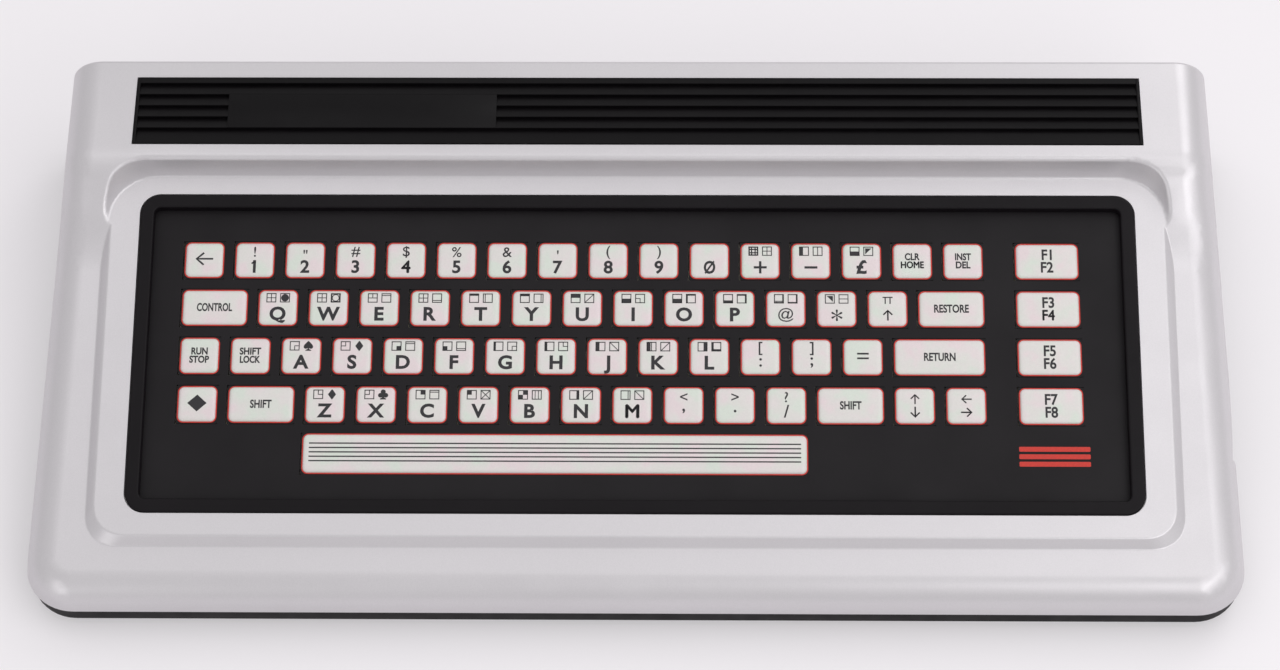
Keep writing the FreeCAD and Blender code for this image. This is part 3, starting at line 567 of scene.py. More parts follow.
@finish_once
def print_ink(name, tone):
    """Screen-printed ink with slightly uneven cover."""
    finish = Finish(name)
    cover = finish.noise(size=0.0006, detail=3)
    finish.wire(finish.shades(cover, tone, 0.9, 1.12), "Base Color")
    finish.wire(finish.spread(cover, 0.45, 0.6), "Roughness")
    return finish


@finish_once
def metal(name, tone, roughness, stretch):
    """Plated or drawn metal with fine lines, which a stretch draws out along one way."""
    finish = Finish(name)
    lines = finish.noise(0.0006, 4, stretch)
    finish.wire(finish.shades(lines, tone, 0.82, 1.1), "Base Color")
    finish.wire(finish.spread(lines, roughness - 0.07, roughness + 0.09), "Roughness")
    finish.set(Metallic=1.0)
    finish.relief(lines, depth=0.00002, strength=0.3)
    return finish


@finish_once
def rubber(tone):
    """Soft black rubber with pale dust in it."""
    finish = Finish("foot_rubber")
    dust = finish.noise(size=0.005, detail=5)
    finish.wire(finish.shades(dust, tone, 1, 2.2, 0.35, 0.75), "Base Color")
    finish.wire(finish.spread(dust, 0.7, 0.9), "Roughness")
    finish.relief(finish.noise(size=0.0012, detail=3), depth=0.00006, strength=0.6)
    return finish


@finish_once
def circuit_board(tone):
    """Lacquered board: green with paler tracks along one way."""
    finish = Finish("circuit_board")
    tracks = finish.noise(0.004, 1, stretch=(0.35, 2.2, 1))
    shades = finish.ramp(tracks, (0.46, tone), (0.5, scaled(tone, 1.7)), (0.54, tone))
    finish.wire(shades, "Base Color")
    finish.wire(finish.spread(tracks, 0.28, 0.4), "Roughness")
    finish.relief(tracks, depth=0.00005, strength=0.5)
    return finish


@finish_once
def clear_sheet(tone):
    """Clear film gone slightly yellow, with printed silver tracks."""
    finish = Finish("clear_sheet")
    tracks = finish.noise(0.006, 0, stretch=(0.2, 2.0, 1))
    finish.wire(finish.shades(tracks, tone, 1, 0.6, 0.48, 0.52), "Base Color")
    finish.wire(finish.spread(tracks, 0.3, 0.5), "Roughness")
    return finish


def case_black(settings):
    return moulded("case_black", settings.black, 0.5, 0.0007, 0.00004)


def socket_black(settings):
    return moulded("socket_black", settings.dark, 0.42, 0.0006, 0.00002)


def contact_gold(settings):
    return metal("contact_gold", settings.gold, 0.3, (1, 0.1, 1))


def plating(settings):
    return metal("plated", settings.shell, 0.36, EVEN)


# Case

SCREW_SPOTS = [(-0.152, -0.066), (0.152, -0.066), (-0.152, 0.066), (0.152, 0.066), (0, -0.066)]

# The strip: its ribs from the rear to the front, the depth of its grooves, and its bare panel,
# which breaks three ribs
RIB_COUNT, BROKEN_RIBS = 6, (2, 3, 4)
RIB_PITCH = 4.0 * MM
RIB_BACK, RIB_DROP, RIB_SINK = 3.1 * MM, 1.2 * MM, 0.2 * MM
REAR_RIB = 2.0 * MM
GROOVE_DEPTH = 1.25 * MM
PANEL_LEFT, PANEL_RIGHT = 28.3 * MM, 109.9 * MM


class COMPUTER_OT_upper_case(bpy.types.Operator):
    """The silver upper case, as one merged shell with eased edges"""
    bl_idname = "computer.upper_case"
    bl_label = "Upper case"

    def execute(self, context):
        case = context.scene.computer_case
        dressed_copy("top_case", "upper_case", "silver_plastic", case.edge,
                     silver_paint(case.silver))
        return {"FINISHED"}


class COMPUTER_OT_lower_case(bpy.types.Operator):
    """The black lower case under the seam, with its vents"""
    bl_idname = "computer.lower_case"
    bl_label = "Lower case"

    def execute(self, context):
        case = context.scene.computer_case
        dressed_copy("base_case", "lower_case", "black_plastic", case.edge, case_black(case))
        return {"FINISHED"}


class COMPUTER_OT_underside(bpy.types.Operator):
    """Rubber feet and the heads of the case screws"""
    bl_idname = "computer.underside"
    bl_label = "Underside"

    def execute(self, context):
        case = context.scene.computer_case
        dressed_copy("rubber_feet", "feet", "foot_rubber", case.edge * 2, rubber(case.rubber), 3)
        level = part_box("base_case")[0].z
        flip = Matrix.Rotation(math.pi, 4, "X")
        spots = [Matrix.Translation((x, y, level)) @ flip for x, y in SCREW_SPOTS]
        screws = joined("case_screws", copies(self.screw_head(case), spots))
        shell = context.scene.computer_sockets.shell
        settled(screws, metal("screw_steel", shell, 0.35, EVEN), "plated_steel")
        return {"FINISHED"}

    def screw_head(self, case):
        """A pan head with a cross recess, made upside up at zero."""
        radius, rise = case.screw_head, case.screw_rise
        head = new_disc("head", radius, 0, ROUND)
        raise_face(rise * 0.45)
        for inward, upward in ((0.1, 0.3), (0.14, 0.17), (0.2, 0.08)):
            bpy.ops.mesh.inset(thickness=radius * inward, depth=rise * upward)
        leave()
        for turn in (0, math.pi / 2):
            slot = new_bar("recess", (-radius * 0.5, -radius * 0.1, rise * 0.35),
                           (radius * 0.5, radius * 0.1, rise * 2))
            place(slot, Matrix.Rotation(turn, 4, "Z"))
            modify(head, "BOOLEAN", operation="DIFFERENCE", object=slot, solver="EXACT")
            bpy.data.objects.remove(slot)
        smooth(head)
        return head


class COMPUTER_OT_rear_strip(bpy.types.Operator):
    """The louvred black strip along the rear deck, with its bare panel"""
    bl_idname = "computer.rear_strip"
    bl_label = "Rear strip"

    def execute(self, context):
        case = context.scene.computer_case
        low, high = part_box("trim_strip")
        bed, rear = high.z - GROOVE_DEPTH, high.y - REAR_RIB
        left, right = low.x + case.strip_end, high.x - case.strip_end
        panel_left, panel_right = low.x + PANEL_LEFT, low.x + PANEL_RIGHT
        parts = [new_bar("slab", (low.x, low.y, bed - MM), (high.x, high.y, bed), 0.1 * MM)]
        for index in range(RIB_COUNT):
            slope = RIB_BACK if index else 0
            back = rear - (index - 1) * RIB_PITCH - slope if index else high.y
            front = rear - index * RIB_PITCH if index < RIB_COUNT - 1 else low.y
            spans = [(left, right)]
            if index in BROKEN_RIBS:
                spans = [(left, panel_left), (panel_right, right)]
            parts += [self.rib((start, front, bed), (end, back, high.z), slope, case.strip_edge)
                      for start, end in spans]
        for x in (low.x, right):
            parts.append(new_bar("end", (x, low.y, bed - MM), (x + case.strip_end, high.y, high.z),
                                 case.strip_edge))
        parts.append(new_bar("panel", (panel_left, rear - 4 * RIB_PITCH, bed - MM),
                             (panel_right, rear - RIB_PITCH, high.z), case.strip_edge * 0.6))
        settled(joined("louvred_strip", parts),
                moulded("strip_black", case.strip_black, 0.36, 0.0006, 0.00002),
                "black_plastic", "trim_strip")
        return {"FINISHED"}

    def rib(self, low, high, slope, ease):
        """One rib: its back slopes down to the rear, and its front edge is eased."""
        start, front, bed = low
        _, back, top = high
        bar = new_bar("louvre", (start, front, bed - RIB_SINK), high)
        enter(bar)
        if slope:
            choose(bar, "edges", edge_at(back, top))
            bpy.ops.transform.translate(value=(0, slope, -RIB_DROP))
        choose(bar, "edges", edge_at(front, top))
        bpy.ops.mesh.bevel(offset=ease, segments=3, affect="EDGES")
        leave()
        smooth(bar)
        return bar


# Keyboard

FUNCTION_COLUMN = 16.65

# The red stripes at the lower right of the sheet: their row, their shift to the right of the
# column above, and the width, depth, corner and pitch of one
STRIPES_ROW, STRIPES_SHIFT = 4.02, 0.6 * MM
STRIPE_WIDTH, STRIPE_DEPTH, STRIPE_CORNER, STRIPE_PITCH = 21 * MM, 1.5 * MM, 0.3 * MM, 2.3 * MM


def key_plane(board):
    """From the flat drawing of the keyboard to its place on the slope."""
    return (Matrix.Translation((0, board.plane_y, board.plane_z))
            @ Matrix.Rotation(board.slope, 4, "X"))


class COMPUTER_OT_keyboard_frame(bpy.types.Operator):
    """The black frame round the key sheet"""
    bl_idname = "computer.keyboard_frame"
    bl_label = "Keyboard frame"

    def execute(self, context):
        case = context.scene.computer_case
        inward = 2 * (case.frame_band - case.frame_skirt)
        flange = self.ring(case.frame_width, case.frame_depth, case.frame_corner,
                           case.frame_band, case.frame_seat, case.frame_top, case.frame_edge)
        skirt = self.ring(case.frame_width - inward, case.frame_depth - inward,
                          case.frame_corner - case.frame_band + case.frame_skirt,
                          case.frame_skirt, 0, case.frame_seat, 0)
        rim = joined("keyboard_frame", [flange, skirt])
        place(rim, key_plane(context.scene.computer_keyboard))
        settled(rim, moulded("frame_black", case.black, 0.4, 0.0006, 0.00002),
                "black_plastic", "keyboard_bezel")
        return {"FINISHED"}

    def ring(self, width, depth, corner, band, bottom, top, ease):
        """A flat ring with round corners. Where an ease is given, its upper rims are eased."""
        ring = new_plate("ring", width, depth, bottom, corner, 8)
        bpy.ops.mesh.inset(thickness=band)
        bpy.ops.mesh.delete(type="FACE")
        bpy.ops.mesh.select_all(action="SELECT")
        raise_face(top - bottom)
        bpy.ops.mesh.select_all(action="SELECT")
        bpy.ops.mesh.normals_make_consistent(inside=False)
        if ease > 0:
            choose(ring, "edges", lambda edge: edge.calc_face_angle(0) > 1
                   and all(vertex.co.z > top - NEAR for vertex in edge.verts))
            bpy.ops.mesh.bevel(offset=ease, segments=4, affect="EDGES")
        leave()
        flattened(ring)
        return ring


class COMPUTER_OT_key_sheet(bpy.types.Operator):
    """The printed sheet between the pads, and the red stripes at its lower right"""
    bl_idname = "computer.key_sheet"
    bl_label = "Key sheet"

    def execute(self, context):
        board = context.scene.computer_keyboard
        dress(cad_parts["key_overlay"], key_film(board.sheet))
        x = FUNCTION_COLUMN * board.pitch + board.first_x + STRIPES_SHIFT
        y = board.first_y - STRIPES_ROW * board.pitch
        stripes = []
        for rise in (STRIPE_PITCH, 0, -STRIPE_PITCH):
            stripe = new_plate("stripe", STRIPE_WIDTH, STRIPE_DEPTH, 0, STRIPE_CORNER, 3)
            raise_face(board.ink_rise)
            leave()
            place(stripe, Matrix.Translation((x, y + rise, 0)))
            stripes.append(stripe)
        mark = joined("red_stripes", stripes)
        place(mark, key_plane(board))
        settled(mark, print_ink("red_print", board.red), "key_sheet")
        return {"FINISHED"}


# Legends of the pads. A row of letters has its first column, its row, and for each letter the
# codes of the two small boxes over it. A letter of a code stands for bars, a sign or a slant in
# the box. Bars are given as left, low, right and high, in shares of the box's side.

LETTERS = [
    ("qwertyuiop", 1.5, 1, "fvh,fo fvh,FO fhV,ft fvh,fb fT,fl fTt,fr fU,f/ fB,fi fB,fA fP,fC"),
    ("asdfghjkl", 2, 2, "fj,s fk,d f4,ft f3,fb fN,fj fNl,fm fL,f\\ fLv,f/ fR,fD"),
    ("zxcvbnm", 2.5, 3, "fm,d fk,c f2,ft f1,fx f23,fg fS,f/ fr,f\\"),
]
FIGURES = ["!1", "\"2", "#3", "$4", "%5", "&6", "'7", "(8", ")9"]
BOX_BARS = {
    "f": [(0, 0, 1, 0.09), (0, 0.91, 1, 1), (0, 0, 0.09, 1), (0.91, 0, 1, 1)],
    "v": [(0.46, 0, 0.54, 1)],
    "h": [(0, 0.46, 1, 0.54)],
    "V": [(0.46, 0.5, 0.54, 1)],
    "t": [(0, 0.72, 1, 0.8)],
    "b": [(0, 0.2, 1, 0.28)],
    "l": [(0.2, 0, 0.28, 1)],
    "r": [(0.72, 0, 0.8, 1)],
    "T": [(0, 0.76, 1, 1)],
    "U": [(0, 0.56, 1, 1)],
    "B": [(0, 0, 1, 0.48)],
    "P": [(0, 0, 1, 0.32)],
    "N": [(0, 0, 0.24, 1)],
    "S": [(0.72, 0, 1, 1)],
    "A": [(0, 0.82, 1, 1), (0, 0, 0.18, 1)],
    "C": [(0, 0.82, 1, 1), (0.82, 0, 1, 1)],
    "D": [(0, 0, 1, 0.24), (0, 0, 0.24, 1)],
    "E": [(0, 0, 1, 0.16), (0.84, 0, 1, 1)],
    "F": [(0, 0, 1, 0.14), (0, 0.86, 1, 1), (0, 0, 0.14, 1), (0.86, 0, 1, 1)],
    "i": [(0, 0.46, 0.54, 0.54), (0.46, 0, 0.54, 0.5)],
    "j": [(0.46, 0.46, 1, 0.54), (0.46, 0, 0.54, 0.5)],
    "k": [(0, 0.46, 0.54, 0.54), (0.46, 0.5, 0.54, 1)],
    "m": [(0.46, 0.46, 1, 0.54), (0.46, 0.5, 0.54, 1)],
    "L": [(0, 0, 0.4, 1)],
    "R": [(0.6, 0, 1, 1)],
    "1": [(0, 0.5, 0.5, 1)],
    "2": [(0.5, 0.5, 1, 1)],
    "3": [(0, 0, 0.5, 0.5)],
    "4": [(0.5, 0, 1, 0.5)],
    "g": [(0.3, 0, 0.37, 1), (0.63, 0, 0.7, 1)],
    "G": [(0.26, 0, 0.38, 1), (0.62, 0, 0.74, 1), (0, 0.26, 1, 0.38), (0, 0.62, 1, 0.74)],
}
BOX_SIGNS = {"o": "●", "O": "○", "s": "♠", "d": "♦", "c": "♣", "q": "◤", "p": "◥"}
BOX_SLANTS = {"/": (1,), "\\": (-1,), "x": (1, -1)}
PI_BARS = [(-1.5, 3.35, 1.5, 3.7), (-0.9, 1.45, -0.55, 3.4), (0.55, 1.45, 0.9, 3.4)]
LEFT, UP, RIGHT, DOWN = "←", "↑", "→", "↓"
FRAIL = {"M", "4", LEFT, UP, RIGHT, DOWN}
WORD_WIDTHS = {"CONTROL": 10.6, "RUN": 4.9, "STOP": 5.9, "SHIFT": 6.4, "LOCK": 6.1, "CLR": 4.5,
               "HOME": 6.8, "INST": 4.8, "DEL": 4.4, "RESTORE": 10.4, "RETURN": 9.4}

# Widths of the pads in millimetres, and the steps of a crown inwards and upwards
PAD_WIDTHS = {"unit": 11.85, "wide": 19.75, "return": 27.15, "function": 19.05, "space": 149.8}
CROWN = [(0.08, 0.2), (0.16, 0.2), (0.3, 0.14), (0.4, 0.08), (0.45, 0.04)]
PAD_FOOT, COLLAR_SINK, COLLAR_CORNER = 0.35 * MM, 0.03 * MM, 0.5 * MM
FACE, INK = 1, 2

# Lettering: a capital's share of the typeface's size, and heights from the middle of a pad
CAPITAL = 0.69
LETTER_FOOT, FIGURE_FOOT = -4.0 * MM, -4.1 * MM
SUM_LEVEL, SUM_HEIGHT = -2.2 * MM, 5.6 * MM
LOWER_LEVEL, STOP_LEVEL = -2.1 * MM, -1.9 * MM
UPPER_LEVEL, ARROW_LEVEL = 2.5 * MM, 2.0 * MM
BOX_LEVEL, BOX_ASIDE = 3.0 * MM, 2.05 * MM
WORD_GAP, FUNCTION_GAP = 2.6 * MM, 4.0 * MM


class COMPUTER_OT_key_pads(bpy.types.Operator):
    """The raised pads with their red outlines and printing"""
    bl_idname = "computer.key_pads"
    bl_label = "Key pads"

    def execute(self, context):
        self.board = board = context.scene.computer_keyboard
        self.finishes = [print_ink("red_outline", board.red), pearl(board.pearl),
                         print_ink("dark_ink", board.ink)]
        self.patterns = {}
        for kind, width in PAD_WIDTHS.items():
            depth = board.space_depth if kind == "space" else board.pad_depth
            self.patterns[kind] = self.pad(width * MM, depth)
        for name, keys in self.table().items():
            pads = [self.key(*key) for key in keys]
            bank = joined("pads_" + name.replace("key_", ""), pads)
            smooth(bank, math.radians(50))
            finished(bank, name, "key_pearl", name)
        for pattern in self.patterns.values():
            bpy.data.objects.remove(pattern)
        return {"FINISHED"}

    def table(self):
        """Every node's pads: kind, column, row and printing."""
        letter, pair, sign, words = self.letter, self.pair, self.sign, self.words
        table = {}
        for letters, start, row, boxes in LETTERS:
            for index, (name, codes) in enumerate(zip(letters, boxes.split())):
                table["key_" + name] = [("unit", start + index, row, (letter, name.upper(), codes))]
        table["key_control"] = [("wide", 0.25, 1, (words, "CONTROL"))]
        table["key_restore"] = [("wide", 14.75, 1, (words, "RESTORE"))]
        table["key_return"] = [("return", 14.5, 2, (words, "RETURN"))]
        table["key_shift_left"] = [("wide", 1.25, 3, (words, "SHIFT"))]
        table["key_shift_right"] = [("wide", 12.75, 3, (words, "SHIFT"))]
        table["key_space"] = [("space", 7, 4, (self.lines,))]
        table["function_keys"] = [
            ("function", FUNCTION_COLUMN, row, (words, f"F{2 * row + 1}", f"F{2 * row + 2}"))
            for row in range(4)
        ]
        table["number_keys"] = [
            ("unit", 0, 0, (sign, LEFT)),
            *(("unit", 1 + index, 0, (pair, *marks)) for index, marks in enumerate(FIGURES)),
            ("unit", 10, 0, (pair, "", "Ø")),
            ("unit", 11, 0, (letter, "+", "FG,fvh")),
            ("unit", 12, 0, (letter, "−", "fL,fv")),
            ("unit", 13, 0, (letter, "£", "fB,fq")),
            ("unit", 14, 0, (words, "CLR", "HOME")),
            ("unit", 15, 0, (words, "INST", "DEL")),
        ]
        table["symbol_keys"] = [
            ("unit", 11.5, 1, (letter, "@", "fbE,fE")),
            ("unit", 12.5, 1, (letter, "*", "fp,fh")),
            ("unit", 13.5, 1, (pair, "π", UP)),
            ("unit", 0, 2, (words, "RUN", "STOP")),
            ("unit", 1, 2, (words, "SHIFT", "LOCK")),
            ("unit", 11, 2, (pair, "[", ":")),
            ("unit", 12, 2, (pair, "]", ";")),
            ("unit", 13, 2, (sign, "=")),
            ("unit", 0, 3, (sign, "◆")),
            ("unit", 9.5, 3, (pair, "<", ",")),
            ("unit", 10.5, 3, (pair, ">", ".")),
            ("unit", 11.5, 3, (pair, "?", "/")),
            ("unit", 14, 3, (pair, UP, DOWN)),
            ("unit", 15, 3, (pair, LEFT, RIGHT)),
        ]
        return table

    def pad(self, width, depth):
        """A crowned pad inside its outline, with a collar that fills the sheet's opening."""
        board = self.board
        collar = new_plate("collar", width + board.collar, depth + board.collar, -PAD_FOOT,
                           COLLAR_CORNER, 2)
        raise_face(PAD_FOOT - COLLAR_SINK)
        leave()
        dress(collar, key_film(board.sheet))
        pad = new_plate("pad_pattern", width, depth, -PAD_FOOT, board.corner)
        for finish in self.finishes:
            pad.data.materials.append(finish)
        raise_face(PAD_FOOT + board.outline_rise)
        bpy.ops.mesh.inset(thickness=board.outline)
        chosen_material(pad, FACE)
        self.top = board.outline_rise
        for inward, rise in CROWN:
            bpy.ops.mesh.inset(thickness=inward * MM, depth=rise * MM)
            self.top += rise * MM
        leave()
        return joined("pad_pattern", [pad, collar])

    def key(self, kind, column, row, marks):
        """One pad with its printing, in its place on the slope."""
        board = self.board
        pad = twin(self.patterns[kind])
        prints = marks[0](*marks[1:])
        for item in prints:
            dress(item, self.finishes[INK])
        pad = joined("pad", [pad, *prints])
        spot = (board.first_x + column * board.pitch, board.first_y - row * board.pitch, 0)
        place(pad, key_plane(board) @ Matrix.Translation(spot))
        return pad

    def text(self, body, x, y, high, stretch=1.0, weight=0.0, middle=False, width=0.0):
        """One piece of lettering with its foot, or its middle, at a height on the pad.

        A glyph that closes up when it is made bolder is printed four times, a little apart.
        """
        if weight and FRAIL & set(body):
            apart = weight * MM
            spots = [(x + apart, y), (x - apart, y), (x, y + apart), (x, y - apart)]
            return joined(body, [self.text(body, *spot, high, stretch, 0.0, middle, width)
                                 for spot in spots])
        clear()
        bpy.ops.object.text_add()
        item = bpy.context.object
        words = item.data
        words.body = body
        words.size = high / CAPITAL
        words.offset = weight * MM
        words.extrude = self.board.ink_rise / 2
        words.resolution_u = 4
        take(item)
        bpy.ops.object.convert(target="MESH")
        item = bpy.context.object
        xs = [vertex.co.x for vertex in item.data.vertices]
        ys = [vertex.co.y for vertex in item.data.vertices]
        foot = (min(ys) + max(ys)) / 2 if middle else 0
        if width:
            stretch = width * MM / (max(xs) - min(xs))
        shift = Matrix.Translation((x, y - foot, self.top + self.board.ink_rise / 2))
        centred = Matrix.Translation((-(min(xs) + max(xs)) / 2, 0, 0))
        place(item, shift @ (Matrix.Diagonal((stretch, 1, 1, 1)) @ centred))
        return item

    def bars(self, places, slants=()):
        """Small printed bars, given as corners in metres, and slanted ones with a turn."""
        rise = self.board.ink_rise
        clear()
        for index, spot in enumerate([*((*place, 0) for place in places), *slants]):
            x0, y0, x1, y1, turn = spot
            middle = ((x0 + x1) / 2, (y0 + y1) / 2, self.top + rise / 2)
            bpy.ops.mesh.primitive_cube_add(size=1, location=middle, rotation=(0, 0, turn),
                                            scale=(x1 - x0, y1 - y0, rise))
            if index == 0:
                made = bpy.context.object
                bpy.ops.object.transform_apply(location=True, rotation=True, scale=True)
                bpy.ops.object.mode_set(mode="EDIT")
        leave()
        return made

    def box(self, code, x, y):
        """One printed box, from the letters of its code."""
        side = self.board.box
        signs = [self.text(BOX_SIGNS[letter], x, y, side * 0.72, middle=True)
                 for letter in code if letter in BOX_SIGNS]
        if len(code) == 1:
            return signs[0]
        left, low = x - side / 2, y - side / 2
        places = [(left + a * side, low + b * side, left + c * side, low + d * side)
                  for letter in code for a, b, c, d in BOX_BARS.get(letter, [])]
        reach, thin = 0.64 * side, 0.04 * side
        slants = [(x - reach, y - thin, x + reach, y + thin, way * math.pi / 4)
                  for letter in code for way in BOX_SLANTS.get(letter, [])]
        return joined("box", [self.bars(places, slants), *signs])

    def letter(self, body, codes):
        """A letter, or a sign as large as one, under two small boxes."""
        capital = self.board.cap_height
        if body in "+−*":
            main = self.text(body, 0, SUM_LEVEL, SUM_HEIGHT, weight=0.03, middle=True)
        elif body == "@":
            main = self.text(body, 0, LOWER_LEVEL, capital * 0.8, stretch=1.06, weight=0.02,
                             middle=True)
        else:
            main = self.text(body, 0, LETTER_FOOT, capital, stretch=1.04, weight=0.2)
        return [main, *(self.box(code, side * BOX_ASIDE, BOX_LEVEL)
                        for side, code in zip((-1, 1), codes.split(",")))]

    def pair(self, upper, lower):
        """A sign over a figure or over another sign."""
        high, capital = self.board.sign_height, self.board.cap_height * 0.95
        arrows = (LEFT, UP, RIGHT, DOWN)
        marks = []
        if upper == "π":
            marks.append(self.bars([[edge * MM for edge in bar] for bar in PI_BARS]))
        elif upper in arrows:
            marks.append(self.text(upper, 0, ARROW_LEVEL, high * 0.88, weight=0.03, middle=True))
        elif upper:
            marks.append(self.text(upper, 0, UPPER_LEVEL, high * 0.95, weight=0.03, middle=True))
        if lower in arrows:
            marks.append(self.text(lower, 0, LOWER_LEVEL, high * 0.95, weight=0.04, middle=True))
        elif lower in ",.:;/":
            marks.append(self.text(lower, 0, STOP_LEVEL, capital, weight=0.06, middle=True))
        else:
            stretch = 0.8 if lower == "Ø" else 1.02
            marks.append(self.text(lower, 0, FIGURE_FOOT, capital, stretch, weight=0.15))
        if lower == "1":
            marks.append(self.flag(capital + FIGURE_FOOT))
        return marks

    def flag(self, top):
        """The slanted stroke at the head of a figure one."""
        x, y = -0.4 * MM, top - 0.62 * MM
        reach, thin, turn = 0.62 * MM, 0.24 * MM, math.radians(38)
        return self.bars([], [(x - reach, y - thin, x + reach, y + thin, turn)])

    def sign(self, body):
        """One sign in the middle of its pad."""
        high = self.board.cap_height * (0.95 if body == "◆" else 1.15)
        return [self.text(body, 0, 0.2 * MM, high, stretch=1.1, middle=True)]

    def words(self, *lines):
        """One or two words, or the names of two functions, one under the other."""
        board = self.board
        high, gap, weight = board.word_height, WORD_GAP, 0.1
        if lines[0].startswith("F"):
            high, gap, weight = board.cap_height * 0.8, FUNCTION_GAP, 0.12
        elif len(lines) > 1:
            high *= 0.86
        start = gap * (len(lines) - 1) / 2 - high / 2
        return [self.text(line, 0, start - index * gap, high, 0.88, weight,
                          width=WORD_WIDTHS.get(line, 0)) for index, line in enumerate(lines)]

    def lines(self):
        """Five thin lines along the space bar."""
        reach, thin, pitch = 72.8 * MM, 0.2 * MM, 1.36 * MM
        rows = [(index - 2) * pitch + 0.35 * MM for index in range(5)]
        return [self.bars([(-reach, y - thin, reach, y + thin) for y in rows])]


# Sockets: how many contacts and pins there are, and from one to the next

CARTRIDGE_CONTACTS, CARTRIDGE_PITCH = 22, 2.54 * MM
CASSETTE_CONTACTS, CASSETTE_PITCH = 6, 3.0 * MM
PORT_PITCH, PORT_ROWS = 33 * MM, (4, 5)
PORT_ROW_PITCH, PORT_PIN_PITCH = 2.84 * MM, 2.74 * MM


class COMPUTER_OT_rear_sockets(bpy.types.Operator):
    """Cartridge slot, cassette edge, picture socket, aerial jack and channel switch"""
    bl_idname = "computer.rear_sockets"
    bl_label = "Rear sockets"

    def execute(self, context):
        sockets = context.scene.computer_sockets
        gold, plated, black = contact_gold(sockets), plating(sockets), socket_black(sockets)
        dressed_copy("cartridge_connector", "cartridge_socket", "socket_black", 0.4 * MM, black)
        settled(self.cartridge_contacts(), gold, "plated_steel")
        settled(self.cassette_contacts(), gold, "plated_steel")

        dressed_copy("av_socket", "picture_socket", "socket_black", 0.4 * MM, black)
        low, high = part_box("av_socket")
        middle = (low + high) / 2
        aim = (Matrix.Translation((middle.x, high.y, middle.z))
               @ Matrix.Rotation(-math.pi / 2, 4, "X"))
        ring = new_tube("picture_ring", radius=6.6 * MM, inner=6.1 * MM, bottom=-6.9 * MM,
                        top=-0.3 * MM, floor=-6.7 * MM)
        place(ring, aim)
        settled(ring, plated, "plated_steel")
        out = Matrix.Translation((3.9 * MM, 0, 0))
        spots = [aim @ (Matrix.Rotation(math.radians(turn), 4, "Z") @ out)
                 for turn in (0, 45, 90, 135, 180)]
        pin = new_pin("pin", radius=0.72 * MM, bottom=-6.8 * MM, top=-2.2 * MM)
        settled(joined("picture_pins", copies(pin, spots)), plated, "plated_steel")

        dressed_copy("rf_modulator", "modulator", "plated_steel", 0.3 * MM,
                     metal("tin_plate", sockets.shell, 0.42, (0.3, 2, 1)))
        dressed_copy("channel_switch_housing", "channel_switch", "socket_black", 0.2 * MM, black)
        dressed_copy("channel_slider", "channel_knob", "slider_white", 0.2 * MM,
                     moulded("slider_white", sockets.pale, 0.45, 0.0006, 0.00002),
                     body="channel_slider")
        return {"FINISHED"}

    def cartridge_contacts(self):
        """Two rows of spring contacts inside the cartridge slot."""
        low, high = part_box("cartridge_connector")
        middle = (low + high) / 2
        springs = []
        for across in spaced(CARTRIDGE_CONTACTS, CARTRIDGE_PITCH):
            x = middle.x + across
            for z in (middle.z - 2.1 * MM, middle.z + 2.1 * MM):
                springs.append(new_bar("spring", (x - 0.5 * MM, high.y - 9 * MM, z - 0.4 * MM),
                                       (x + 0.5 * MM, high.y - 2 * MM, z + 0.4 * MM)))
        return joined("cartridge_contacts", springs)

    def cassette_contacts(self):
        """Flat contacts on both sides of the board's edge."""
        low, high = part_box("main_board")
        thick = 0.03 * MM
        fingers = []
        for across in spaced(CASSETTE_CONTACTS, CASSETTE_PITCH):
            x = -2 * MM + across
            for level in (low.z - thick, high.z):
                fingers.append(new_bar("finger", (x - 0.9 * MM, high.y - 7 * MM, level),
                                       (x + 0.9 * MM, high.y - 0.3 * MM, level + thick)))
        return joined("cassette_contacts", fingers)


class COMPUTER_OT_side_sockets(bpy.types.Operator):
    """Two control ports, the power switch and the power socket at the right"""
    bl_idname = "computer.side_sockets"
    bl_label = "Side sockets"

    def execute(self, context):
        sockets = context.scene.computer_sockets
        black = socket_black(sockets)
        face_on = Matrix.Rotation(math.pi / 2, 4, "Y")
        low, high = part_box("control_ports")
        flange = high.x - sockets.port_shell
        ports = merged_copy("control_ports", "control_port_sockets")
        eased(ports, 0.15 * MM)
        dress(ports, black, plating(sockets))
        enter(ports)
        choose(ports, "faces", lambda face: face.calc_center_median().x > flange + 0.1 * MM)
        chosen_material(ports, 1)
        leave()
        finished(ports, ROOT, "socket_black", "control_ports")
        y, z = (low.y + high.y) / 2, (low.z + high.z) / 2
        spots = [Matrix.Translation((flange, y + port + across, z + upward)) @ face_on
                 for port in spaced(2, PORT_PITCH)
                 for upward, count in zip(spaced(2, PORT_ROW_PITCH), PORT_ROWS)
                 for across in spaced(count, PORT_PIN_PITCH)]
        pin = new_pin("pin", radius=0.66 * MM, bottom=0, top=4.8 * MM)
        settled(joined("control_port_pins", copies(pin, spots)), contact_gold(sockets),
                "plated_steel")

        low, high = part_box("power_socket")
        y, z = (low.y + high.y) / 2, (low.z + high.z) / 2
        ring = new_tube("power_ring", radius=3.1 * MM, inner=2.2 * MM, bottom=-1 * MM,
                        top=0.25 * MM, floor=-1 * MM)
        place(ring, Matrix.Translation((high.x, y, z)) @ face_on)
        settled(ring, black, "socket_black")
        dressed_copy("power_socket", "power_inlet", "socket_black", 0.3 * MM, black)
        dressed_copy("power_switch_housing", "switch_housing", "socket_black", 0.3 * MM, black)
        dressed_copy("power_rocker", "switch_rocker", "rocker_black", 0.35 * MM,
                     moulded("rocker_black", scaled(sockets.dark, 0.8), 0.25, 0.002, 0.00001),
                     segments=3, body="power_rocker")
        return {"FINISHED"}


